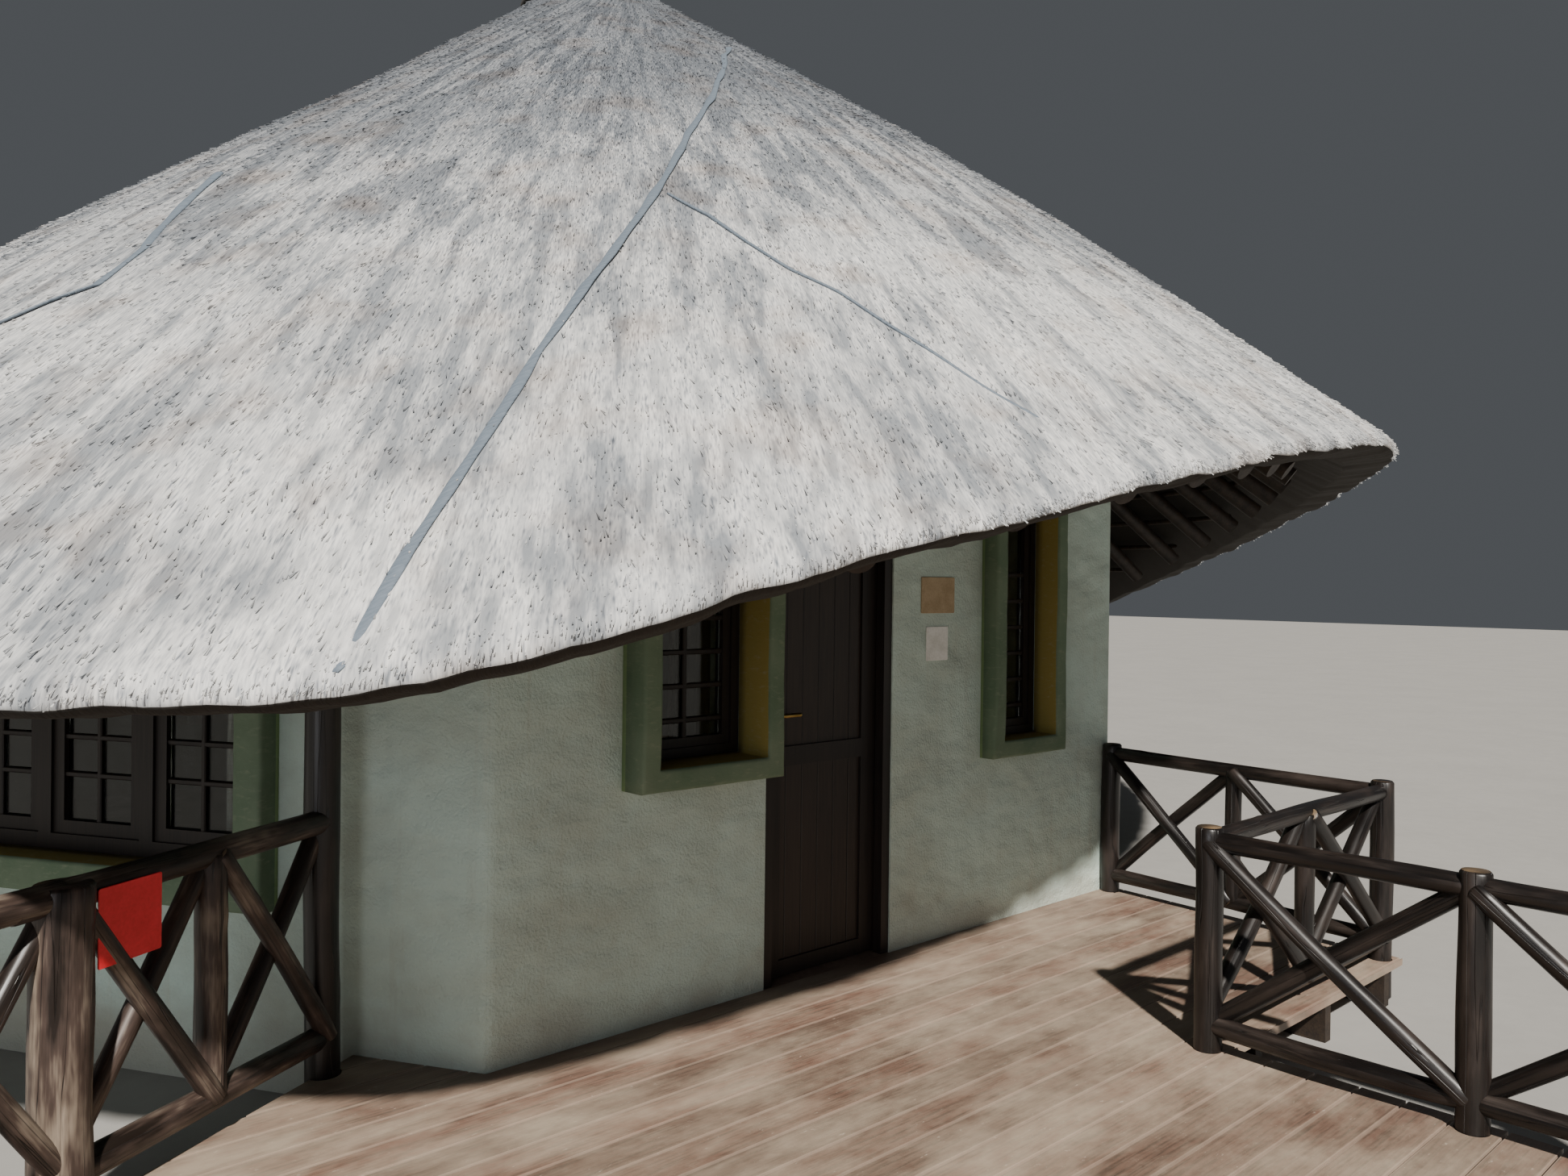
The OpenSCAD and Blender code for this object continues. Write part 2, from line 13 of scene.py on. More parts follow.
import bpy
import numpy as np
from mathutils import Matrix, Vector


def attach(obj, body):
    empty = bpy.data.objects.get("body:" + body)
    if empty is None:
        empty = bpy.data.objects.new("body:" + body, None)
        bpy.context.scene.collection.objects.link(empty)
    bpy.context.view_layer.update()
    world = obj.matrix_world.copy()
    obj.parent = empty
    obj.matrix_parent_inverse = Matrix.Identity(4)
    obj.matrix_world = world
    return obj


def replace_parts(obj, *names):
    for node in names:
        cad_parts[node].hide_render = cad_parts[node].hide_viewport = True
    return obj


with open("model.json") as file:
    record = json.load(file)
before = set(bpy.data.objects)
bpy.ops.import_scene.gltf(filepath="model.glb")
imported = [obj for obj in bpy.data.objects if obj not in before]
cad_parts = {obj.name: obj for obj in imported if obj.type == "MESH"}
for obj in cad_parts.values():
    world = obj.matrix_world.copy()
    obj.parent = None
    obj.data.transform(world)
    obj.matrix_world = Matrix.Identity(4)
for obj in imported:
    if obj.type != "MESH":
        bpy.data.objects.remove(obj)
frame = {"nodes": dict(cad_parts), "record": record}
log = logging.getLogger("hut")

HUT = "hut"
FLOOR = 0.17
WALL_LONG = 3.75
WALL = 0.23
APOTHEM = WALL_LONG * math.cos(math.radians(30))
# Marks in v on the UV maps: added under the eave, and given to the cut ends of poles.
UNDER_EAVE = 10.0
CUT_END = 950.0


class Side(Enum):
    """The walls that have windows, counted in sixths of a turn from the entrance wall."""

    FRONT = 0
    RIGHT_FRONT = 1
    REAR = 3
    LEFT_FRONT = -1

    def place(self, along: np.ndarray, out: np.ndarray, high: np.ndarray) -> np.ndarray:
        """Points of a wall: the entrance wall's, turned about the hut's axis.

        Args:
            along: distance along the wall from its middle.
            out: distance out of its outer face.
            high: height above the floor.

        Returns:
            The points, in the shape to which the three broadcast.
        """
        a = math.radians(60 * self.value)
        x, y = np.asarray(along, float), -APOTHEM - np.asarray(out, float)
        return np.stack(np.broadcast_arrays(x * math.cos(a) - y * math.sin(a),
                                            x * math.sin(a) + y * math.cos(a),
                                            np.asarray(high, float) + FLOOR), -1)

    def ways(self) -> tuple[np.ndarray, np.ndarray]:
        """The directions along the wall and out of it."""
        return self.place(1, 0, 0) - self.place(0, 0, 0), self.place(0, 1, 0) - self.place(0, 0, 0)


# Meshes

@dataclass
class Shape:
    """A mesh being worked out.

    Attributes:
        points: its points.
        faces: its faces' corners, in groups of equal side count.
        uvs: a UV for each of those corners.
    """

    points: np.ndarray
    faces: list[np.ndarray] = field(default_factory=list)
    uvs: list[np.ndarray] = field(default_factory=list)

    @staticmethod
    def joined(shapes: list["Shape"]) -> "Shape":
        """Puts several shapes into one.

        Args:
            shapes: the shapes, which stay as they are.

        Returns:
            One shape with all their points and faces.
        """
        start = np.cumsum([0] + [len(s.points) for s in shapes])
        faces = [f + start[k] for k, s in enumerate(shapes) for f in s.faces]
        uvs = [u for s in shapes for u in s.uvs]
        sides = sorted({f.shape[1] for f in faces})
        return Shape(
            np.concatenate([s.points for s in shapes]),
            [np.concatenate([f for f in faces if f.shape[1] == n]) for n in sides],
            [np.concatenate([u for f, u in zip(faces, uvs) if f.shape[1] == n]) for n in sides],
        )

    def object(self, name: str, material: bpy.types.Material, smooth: bool) -> bpy.types.Object:
        """Makes the shape an object with one finish.

        Args:
            name: the object's name.
            material: its finish.
            smooth: whether its faces are shaded smooth.

        Returns:
            The new object, at the origin.
        """
        mesh = bpy.data.meshes.new(name)
        mesh.vertices.add(len(self.points))
        mesh.vertices.foreach_set("co", np.ascontiguousarray(self.points, np.float32).ravel())
        corners = np.concatenate([f.ravel() for f in self.faces]).astype(np.int32)
        sizes = np.concatenate([np.full(len(f), f.shape[1]) for f in self.faces])
        mesh.loops.add(len(corners))
        mesh.loops.foreach_set("vertex_index", corners)
        mesh.polygons.add(len(sizes))
        mesh.polygons.foreach_set("loop_start", (np.cumsum(sizes) - sizes).astype(np.int32))
        mesh.polygons.foreach_set("use_smooth", np.full(len(sizes), smooth))
        if self.uvs:
            layer = mesh.uv_layers.new(name="UVMap")
            flat = np.concatenate([u.reshape(-1, 2) for u in self.uvs]).astype(np.float32)
            layer.data.foreach_set("uv", flat.ravel())
        mesh.update(calc_edges=True)
        mesh.validate()
        mesh.materials.append(material)
        made = bpy.data.objects.new(name, mesh)
        bpy.context.scene.collection.objects.link(made)
        return made

    def piece(self, name: str, slot: str, material: bpy.types.Material,
              smooth: bool = True, body: str = HUT) -> bpy.types.Object:
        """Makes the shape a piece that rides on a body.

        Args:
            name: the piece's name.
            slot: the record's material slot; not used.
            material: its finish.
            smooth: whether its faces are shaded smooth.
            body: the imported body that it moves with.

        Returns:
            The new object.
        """
        made = self.object(name, material, smooth)
        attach(made, body)
        log.info("%s: %d faces", name, len(made.data.polygons))
        return made


def lattice(rows: int, cols: int, round_rows: bool = False,
            round_cols: bool = True) -> tuple[np.ndarray, np.ndarray, np.ndarray]:
    """Quads of a grid of points that are stored row by row.

    Args:
        rows: number of rows of points.
        cols: number of points in a row.
        round_rows: whether the last row joins the first.
        round_cols: whether the last column joins the first.

    Returns:
        The quads, and the row and the column of each corner, which run on past a closing seam.
    """
    i, j = np.meshgrid(np.arange(rows - (not round_rows)), np.arange(cols - (not round_cols)),
                       indexing="ij")
    ci = np.stack([i, i, i + 1, i + 1], -1).reshape(-1, 4)
    cj = np.stack([j, j + 1, j + 1, j], -1).reshape(-1, 4)
    return (ci % rows) * cols + cj % cols, ci, cj


def ripple(rng: np.random.Generator, *axes: np.ndarray, waves: int = 6,
           pitch: float = 1.0) -> np.ndarray:
    """Smooth seeded unevenness: the mean of cosine waves with random directions and phases.

    Args:
        rng: the seeded source of numbers.
        axes: the coordinates, in arrays that broadcast together.
        waves: number of waves.
        pitch: typical wave length in the coordinates' unit.

    Returns:
        Values about -1 to 1 in the coordinates' broadcast shape.
    """
    total = 0.0
    for _ in range(waves):
        ways = rng.normal(size=len(axes)) * 2 * math.pi / pitch * 0.6
        total = total + np.cos(sum(w * a for w, a in zip(ways, axes)) + rng.uniform(0, 6.28))
    return total / math.sqrt(waves)


def lids(rows: int, cols: int) -> np.ndarray:
    """Two faces that close a tube of rings: the first ring turned back, and the last ring.

    Args:
        rows: number of rings.
        cols: number of points in a ring.

    Returns:
        The faces' corners.
    """
    ring = np.arange(cols)[None]
    return np.concatenate([ring[:, ::-1], ring + (rows - 1) * cols])


def turns(count: int) -> np.ndarray:
    """Angles that divide a full turn evenly."""
    return np.linspace(0, 2 * np.pi, count, endpoint=False)


def unit(v: np.ndarray) -> np.ndarray:
    """Vectors scaled to length one."""
    return v / np.linalg.norm(v, axis=-1, keepdims=True)


def slab(width: float, height: float, thick: float, corner: float, ease: float) -> Shape:
    """A thin plate with rounded corners and eased edges, standing at the origin in x and z.

    Four rings of one rounded-rectangle outline, drawn in by "ease" at the two faces, with a fan at
    each face.

    Args:
        width: size along x.
        height: size along z.
        thick: size along y, from y = 0 towards -y.
        corner: radius of the corners.
        ease: how far the faces' edges are drawn in.

    Returns:
        The plate, closed, with UVs in metres.
    """
    turn = np.radians(np.concatenate([np.arange(0, 91, 18) + 90 * k for k in range(4)]))
    mid = np.repeat([[1, 1], [-1, 1], [-1, -1], [1, -1]], 6, axis=0) * np.array(
        [width / 2 - corner, height / 2 - corner])
    rings = [(corner - ease, 0.0), (corner, ease), (corner, thick - ease), (corner - ease, thick)]
    points = np.concatenate([np.stack([mid[:, 0] + r * np.cos(turn), np.full(24, -y),
                                       mid[:, 1] + r * np.sin(turn)], -1) for r, y in rings])
    faces = [lattice(4, 24)[0], lids(4, 24)]
    return Shape(points, faces, [points[f][..., [0, 2]] for f in faces])


def bar(a: np.ndarray, b: np.ndarray, wide: np.ndarray, deep: np.ndarray, ease: float) -> Shape:
    """A straight bar with eased edges: an eight-sided outline carried from a to b.

    Args:
        a: middle of one end.
        b: middle of the other end.
        wide: half the width, as a vector square to the bar.
        deep: half the depth, as a vector square to both.
        ease: size of the easing on each edge.

    Returns:
        The bar, closed, with UVs in metres.
    """
    w, d = np.linalg.norm(wide), np.linalg.norm(deep)
    ring = np.array([(w - ease, -d), (w, -d + ease), (w, d - ease), (w - ease, d),
                     (-w + ease, d), (-w, d - ease), (-w, -d + ease), (-w + ease, -d)])
    out = ring[:, :1] * unit(wide) + ring[:, 1:] * unit(deep)
    points = np.concatenate([a + out, b + out])
    if np.dot(np.cross(wide, deep), np.asarray(b) - a) < 0:
        points = np.concatenate([b + out, a + out])
    faces, ci, cj = lattice(2, 8)
    run = np.concatenate([[0], np.cumsum(np.linalg.norm(np.diff(ring, axis=0), axis=1)), [4 * w]])
    long = float(np.linalg.norm(np.asarray(b, float) - a))
    return Shape(points, [faces, lids(2, 8)], [np.stack([run[cj], ci * long], -1),
                                               np.stack([ring[::-1], ring])])


# Finishes

def linear(code: str) -> tuple[float, float, float, float]:
    """An sRGB hex colour as Blender's linear RGBA."""
    parts = [int(code[i:i + 2], 16) / 255 for i in (1, 3, 5)]
    return *(p / 12.92 if p <= 0.04045 else ((p + 0.055) / 1.055) ** 2.4 for p in parts), 1.0


def per_mm(*sizes: float) -> tuple[float, ...]:
    """Scales that make a pattern's unit as long as each size in mm; one size is for all axes."""
    return tuple(1000 / s for s in (sizes * 3 if len(sizes) == 1 else sizes))


def add(tree: bpy.types.NodeTree, kind: str, *inputs: object, out: int = 0,
        **settings: object) -> bpy.types.NodeSocket:
    """Adds a node with its settings and links.

    Args:
        tree: the node tree.
        kind: the node's type without its "ShaderNode" prefix.
        inputs: for its open sockets in turn, a socket to link, a hex colour, a number, or None.
        out: which of its open outputs is given back.
        settings: the node's attributes, sockets by name, or "stops", a ramp's places and colours.

    Returns:
        The output socket.
    """
    node = tree.nodes.new("ShaderNode" + kind)
    named = []
    for name, value in settings.items():
        if name == "stops":
            while len(node.color_ramp.elements) < len(value):
                node.color_ramp.elements.new(0.5)
            for element, (place, code) in zip(node.color_ramp.elements, value):
                element.position, element.color = place, linear(code)
        elif hasattr(node, name):
            setattr(node, name, value)
        else:
            named.append((node.inputs[name.replace("_", " ")], value))
    for socket, value in [*zip([s for s in node.inputs if s.enabled], inputs), *named]:
        if isinstance(value, bpy.types.NodeSocket):
            tree.links.new(value, socket)
        elif value is not None:
            socket.default_value = linear(value) if isinstance(value, str) else value
    return [s for s in node.outputs if s.enabled][out]


def weigh(tree: bpy.types.NodeTree,
          *parts: tuple[bpy.types.NodeSocket, float]) -> bpy.types.NodeSocket:
    """The sum of patterns, each times its weight.

    Args:
        tree: the node tree.
        parts: the patterns, each with its weight.

    Returns:
        The sum's output socket.
    """
    total = 0.0
    for socket, weight in parts:
        total = add(tree, "Math", socket, weight, total, operation="MULTIPLY_ADD")
    return total


@dataclass
class Finish:
    """A new material in the making.

    Attributes:
        name: its name.
        made: the material.
        tree: its node tree.
        shader: the shader at the tree's end.
    """

    name: str
    made: bpy.types.Material = field(init=False)
    tree: bpy.types.NodeTree = field(init=False)
    shader: bpy.types.Node = field(init=False)

    def __post_init__(self) -> None:
        """Makes the material with one shader linked to its output."""
        self.made = bpy.data.materials.new(self.name)
        self.made.use_nodes = True
        self.tree = self.made.node_tree
        self.tree.nodes.clear()
        surface = add(self.tree, "BsdfPrincipled")
        self.shader = surface.node
        output = self.tree.nodes.new("ShaderNodeOutputMaterial")
        self.tree.links.new(surface, output.inputs["Surface"])

    def done(self, colour: object, rough: object, height: bpy.types.NodeSocket | None = None,
             depth_mm: float = 1.0, strength: float = 0.8) -> bpy.types.Material:
        """Closes the material.

        Args:
            colour: the base colour, as a socket or a hex colour.
            rough: the roughness, as a socket or a number.
            height: the pattern that the bump follows.
            depth_mm: height of the bump where the pattern goes from 0 to 1.
            strength: strength of the bump.

        Returns:
            The material.
        """
        for name, value in (("Base Color", colour), ("Roughness", rough)):
            if isinstance(value, bpy.types.NodeSocket):
                self.tree.links.new(value, self.shader.inputs[name])
            else:
                self.shader.inputs[name].default_value = (
                    linear(value) if isinstance(value, str) else value)
        if height is not None:
            bump = add(self.tree, "Bump", Height=height, Strength=strength,
                       Distance=depth_mm / 1000)
            self.tree.links.new(bump, self.shader.inputs["Normal"])
        return self.made


@dataclass(frozen=True)
class WeatheredStraw:
    """Thatching grass, cut, combed and silvered by sun: matt, a mass of short pale butt ends.

    Sizes are across and down the slope. The real ends are 4 mm wide and are drawn at 5 mm, so
    that they show.
    """

    bright: str = "#e2e1de"
    pale: str = "#bbbcbd"
    grey: str = "#8c9095"
    # Darkest tone of the straw ends: painted shade in the hollows between them.
    hollow_shade: str = "#5d6169"
    # Bluish grey of the painted shade, multiplied in up high and along ribs, streaks and clouds.
    shade_grey: str = "#8c929a"
    tan: str = "#a68f7c"
    # Near-black colours of the cut face and the underside: painted shade under the eave.
    inner: str = "#14100c"
    under_shade_ends: str = "#2c251c"
    end_mm: tuple[float, float] = (5, 45)
    tuft_mm: tuple[float, float] = (8, 60)
    streak_mm: tuple[float, float] = (32, 240)
    rib_mm: tuple[float, float] = (130, 760)
    cloud_mm: float = 1000
    tan_mm: float = 260
    # Metres down the slope over which the tone is painted lighter and the painted shade fades.
    low_m: tuple[float, float] = (1.5, 6.2)
    relief_mm: float = 6

    def material(self) -> bpy.types.Material:
        """Ends, tufts and streaks give the tone, painted lighter towards the eave; painted shade in
        ribs and clouds darkens it, most up high.

        The UV map is in metres: u round the roof and v down the slope, and UNDER_EAVE marks the
        cut face and the underside, painted near-black as painted shade.

        Returns:
            The material.
        """
        f = Finish("weathered_straw")
        t, uv = f.tree, add(f.tree, "UVMap")
        spot = add(t, "TexCoord", out=3)
        ends, tufts, streaks, ribs = (
            add(t, "TexNoise", add(t, "Mapping", uv, Scale=per_mm(*size, 1)), 1.0, detail, 0.55)
            for size, detail in ((self.end_mm, 1.0), (self.tuft_mm, 2.0), (self.streak_mm, 3.0),
                                 (self.rib_mm, 3.0)))
        cloud = add(t, "TexNoise", add(t, "Mapping", spot, Scale=per_mm(self.cloud_mm)),
                    1.0, 5.0, 0.62)
        down = add(t, "SeparateXYZ", uv, out=1)
        # Painted light: the tone grows lighter down the slope, and the painted shade is strongest up
        # high.
        low = add(t, "MapRange", down, *self.low_m, interpolation_type="SMOOTHSTEP")
        tone = weigh(t, (ends, 0.40), (tufts, 0.20), (streaks, 0.26), (cloud, 0.08), (low, 0.13))
        # The darkest stop paints the shade in the hollows between the straw ends.
        colour = add(t, "ValToRGB", tone, stops=[(0.40, self.hollow_shade), (0.47, self.grey),
                                                 (0.53, self.pale), (0.62, self.bright)])
        high = add(t, "Math", 1.0, low, operation="SUBTRACT")
        strong = add(t, "Math", high, 0.5, 0.4, operation="MULTIPLY_ADD")
        rib = add(t, "MapRange", ribs, 0.46, 0.60, interpolation_type="SMOOTHSTEP")
        rib = add(t, "Math", rib, strong, operation="MULTIPLY")
        # Painted shade: a bluish grey multiplied in along ribs, streaks and clouds, and towards the
        # point.
        shade_mask = weigh(t, (rib, 0.95), (add(t, "MapRange", streaks, 0.44, 0.62), 0.50),
                    (add(t, "MapRange", cloud, 0.45, 0.62), 0.40), (high, 0.30))
        shade_mask = add(t, "Math", shade_mask, 0.95, operation="MINIMUM")
        colour = add(t, "Mix", shade_mask, colour, self.shade_grey, data_type="RGBA", blend_type="MULTIPLY")
        warm = add(t, "TexNoise", add(t, "Mapping", spot, Scale=per_mm(self.tan_mm)),
                   1.0, 3.0, 0.5)
        warm = add(t, "MapRange", warm, 0.5, 0.72, 0.0, 0.6)
        colour = add(t, "Mix", warm, colour, self.tan, data_type="RGBA", blend_type="SOFT_LIGHT")
        # Painted shade: the cut face and the underside take near-black straw colours; the cut ends
        # are also a little darker of their own.
        under = add(t, "MapRange", down, UNDER_EAVE - 1.0, UNDER_EAVE - 0.5)
        inner = add(t, "Mix", ends, self.inner, self.under_shade_ends, data_type="RGBA")
        colour = add(t, "Mix", under, colour, inner, data_type="RGBA")
        return f.done(colour, 0.9, weigh(t, (ends, 0.6), (tufts, 0.6)), self.relief_mm, 0.6)


@dataclass(frozen=True)
class NetSeam:
    """The gathered seam of a plastic net: faded blue-grey, slightly glossy, with a twisted look."""

    faded: str = "#76818c"
    blue: str = "#56616d"
    twist_mm: tuple[float, float] = (9, 30)
    relief_mm: float = 4

    def material(self) -> bpy.types.Material:
        """Ridges across the seam on the UV map, which is slanted and in metres.

        Returns:
            The material.
        """
        f = Finish("net_seam")
        t, uv = f.tree, add(f.tree, "UVMap")
        twist = add(t, "TexNoise", add(t, "Mapping", uv, Scale=per_mm(*self.twist_mm, 1)), 1.0, 2.0)
        colour = add(t, "Mix", twist, self.blue, self.faded, data_type="RGBA")
        return f.done(colour, 0.6, twist, self.relief_mm)


@dataclass(frozen=True)
class LimePlaster:
    """Lime-washed plaster, floated by hand: pale and matt, with soft hollows and a fine grit."""

    wash: str = "#c9ddd3"
    worn: str = "#b4c0b4"
    run: str = "#b0af9f"
    splash: str = "#a2998a"
    float_mm: tuple[float, float, float] = (190, 190, 130)
    grit_mm: float = 11
    cloud_mm: tuple[float, float, float] = (700, 700, 500)
    run_mm: tuple[float, float, float] = (60, 60, 900)
    splash_m: float = 0.12
    relief_mm: float = 45

    def material(self) -> bpy.types.Material:
        """Worn clouds and upright runs in the wash, and splashes that end raggedly near the ground.

        Returns:
            The material.
        """
        f = Finish("lime_washed_plaster")
        t, spot = f.tree, add(f.tree, "TexCoord", out=3)
        floated = add(t, "TexNoise", add(t, "Mapping", spot, Scale=per_mm(*self.float_mm)),
                      1.0, 2.0, 0.45)
        grit = add(t, "TexNoise", add(t, "Mapping", spot, Scale=per_mm(self.grit_mm)),
                   1.0, 3.0, 0.6)
        cloud = add(t, "TexNoise", add(t, "Mapping", spot, Scale=per_mm(*self.cloud_mm)),
                    1.0, 5.0, 0.6)
        runs = add(t, "TexNoise", add(t, "Mapping", spot, Scale=per_mm(*self.run_mm)),
                   1.0, 4.0, 0.6)
        colour = add(t, "Mix", add(t, "MapRange", cloud, 0.38, 0.68), self.wash, self.worn,
                     data_type="RGBA")
        colour = add(t, "Mix", add(t, "MapRange", runs, 0.56, 0.80, 0.0, 0.3), colour, self.run,
                     data_type="RGBA")
        high = weigh(t, (add(t, "SeparateXYZ", spot, out=2), 1.0), (cloud, -0.5))
        low = add(t, "MapRange", high, self.splash_m, -self.splash_m, 0.0, 0.6)
        colour = add(t, "Mix", low, colour, self.splash, data_type="RGBA")
        return f.done(colour, 0.92, weigh(t, (floated, 0.8), (grit, 0.15)), self.relief_mm, 0.9)


@dataclass(frozen=True)
class PaintedSurround:
    """Plaster band in masonry paint: matt and brushed on, green, with an ochre reveal."""

    face: str = "#5f745b"
    faded: str = "#76856d"
    # Lighter green of the outer side faces: painted light, on the same paint as the face.
    outer: str = "#8ba371"
    reveal: str = "#928443"
    brushed: str = "#b5b59c"
    cloud_mm: float = 220
    brush_mm: tuple[float, float, float] = (40, 40, 14)
    relief_mm: float = 4

    def material(self) -> bpy.types.Material:
        """The UV map's u tells the parts: below 0 the reveal, above 0.5 the outer side faces, painted
        lighter than the face as painted light.

        Returns:
            The material.
        """
        f = Finish("painted_surround")
        t, spot = f.tree, add(f.tree, "TexCoord", out=3)
        across = add(t, "SeparateXYZ", add(t, "UVMap"), out=0)
        cloud = add(t, "TexNoise", add(t, "Mapping", spot, Scale=per_mm(self.cloud_mm)),
                    1.0, 5.0, 0.6)
        brush = add(t, "TexNoise", add(t, "Mapping", spot, Scale=per_mm(*self.brush_mm)),
                    1.0, 4.0, 0.6)
        colour = self.face
        for share, over in ((add(t, "MapRange", cloud, 0.35, 0.7), self.faded),
                            (add(t, "MapRange", across, -0.004, -0.012), self.reveal),
                            # Painted light: the outer side faces are coloured lighter than the front
                            # face.
                            (add(t, "MapRange", across, 0.5, 0.51), self.outer),
                            (add(t, "MapRange", brush, 0.56, 0.8, 0.0, 0.3), self.brushed)):
            colour = add(t, "Mix", share, colour, over, data_type="RGBA")
        return f.done(colour, 0.85, weigh(t, (brush, 0.6), (cloud, 0.4)), self.relief_mm, 0.7)


@dataclass(frozen=True)
class CreosotedPole:
    """Debarked gum pole dipped in creosote: dark and a little oily, with drying cracks and wear."""

    name: str = "creosoted_gum_pole"
    tar: str = "#1f1814"
    stain: str = "#463933"
    worn: str = "#998b7b"
    end: str = "#8b785c"
    ring: str = "#6b5541"
    split: str = "#0d0a09"
    grain_mm: tuple[float, float] = (8, 160)
    rub_mm: tuple[float, float] = (90, 520)
    split_mm: tuple[float, float] = (34, 1400)
    blot_mm: float = 240
    ring_rate: float = 2400
    gloss: float = 0.42
    relief_mm: float = 2.4

    def material(self) -> bpy.types.Material:
        """Grain, rubbed places and long cracks on the sides, and growth rings on the cut ends.

        The UV map is in metres round and along the pole, and CUT_END marks the ends. A crack is
        where a stretched pattern passes through its middle value. "ring_rate" is in radians a
        metre, for growth rings of 2.6 mm.

        Returns:
            The material.
        """
        f = Finish(self.name)
        t, uv = f.tree, add(f.tree, "UVMap")
        spot = add(t, "TexCoord", out=3)
        grain, rub = (
            add(t, "TexNoise", add(t, "Mapping", uv, Scale=per_mm(*size, 1)), 1.0, 4.0, 0.6)
            for size in (self.grain_mm, self.rub_mm))
        blot = add(t, "TexNoise", add(t, "Mapping", spot, Scale=per_mm(self.blot_mm)), 1.0, 3.0)
        split = add(t, "TexNoise", add(t, "Mapping", uv, Scale=per_mm(*self.split_mm, 1)),
                    1.0, 2.0, 0.4)
        split = add(t, "Math", split, 0.52, operation="SUBTRACT")
        crack = add(t, "MapRange", add(t, "Math", split, operation="ABSOLUTE"), 0.010, 0.0)
        tone = weigh(t, (rub, 0.62), (grain, 0.14), (blot, 0.26))
        colour = add(t, "ValToRGB", tone, stops=[(0.45, self.tar), (0.53, self.stain),
                                                 (0.66, self.worn)])
        colour = add(t, "Mix", crack, colour, self.split, data_type="RGBA")
        u, v = (add(t, "SeparateXYZ", uv, out=i) for i in (0, 1))
        rings = add(t, "Math", u, self.ring_rate, operation="MULTIPLY")
        rings = add(t, "Math", rings, operation="SINE")
        cut = add(t, "Mix", add(t, "MapRange", rings, -1.0, 1.0), self.end, self.ring,
                  data_type="RGBA")
        cut = add(t, "Mix", add(t, "MapRange", blot, 0.38, 0.55), cut, self.stain, data_type="RGBA")
        at_end = add(t, "MapRange", v, CUT_END - 50, CUT_END - 49)
        colour = add(t, "Mix", at_end, colour, cut, data_type="RGBA")
        rough = add(t, "MapRange", rub, 0.3, 0.7, self.gloss - 0.1, self.gloss + 0.2)
        height = weigh(t, (grain, 0.35), (rub, 0.5), (crack, -1.6))
        return f.done(colour, rough, height, self.relief_mm, 0.6)


@dataclass(frozen=True)
class StainedTimber:
    """Hardwood joinery under dark stain: closed grain with a dull sheen, paler where rubbed."""

    name: str = "stained_hardwood"
    light: str = "#241b16"
    dark: str = "#120e0c"
    board: str = "#372c25"
    joint: str = "#0a0807"
    board_mm: float = 0.0
    grain_mm: tuple[float, float, float] = (9, 9, 260)
    cloud_mm: tuple[float, float, float] = (300, 300, 500)
    relief_mm: float = 0.6
    joint_mm: float = 3

    def material(self) -> bpy.types.Material:
        """Upright grain; where it is boarded, each board has its tone and a V-joint at its edges.

        A board's number is its distance along x over the board's width, without the fraction.

        Returns:
            The material.
        """
        f = Finish(self.name)
        t, spot = f.tree, add(f.tree, "TexCoord", out=3)
        grain = add(t, "TexNoise", add(t, "Mapping", spot, Scale=per_mm(*self.grain_mm)),
                    1.0, 4.0, 0.6)
        cloud = add(t, "TexNoise", add(t, "Mapping", spot, Scale=per_mm(*self.cloud_mm)), 1.0, 3.0)
        colour = add(t, "ValToRGB", weigh(t, (grain, 0.7), (cloud, 0.3)),
                     stops=[(0.36, self.dark), (0.62, self.light)])
        if not self.board_mm:
            return f.done(colour, 0.5, grain, self.relief_mm)
        x = add(t, "SeparateXYZ", add(t, "Mapping", spot, Scale=per_mm(self.board_mm)))
        own = add(t, "TexWhiteNoise", add(t, "Math", x, operation="FLOOR"), noise_dimensions="1D")
        own = add(t, "Math", own, 0.4, operation="MULTIPLY")
        colour = add(t, "Mix", own, colour, self.board, data_type="RGBA")
        edge = add(t, "Math", add(t, "Math", x, operation="FRACT"), 0.5, operation="SUBTRACT")
        joint = add(t, "MapRange", add(t, "Math", edge, operation="ABSOLUTE"), 0.455, 0.495)
        colour = add(t, "Mix", joint, colour, self.joint, data_type="RGBA")
        return f.done(colour, 0.5, weigh(t, (grain, 0.2), (joint, -1.0)), self.joint_mm)


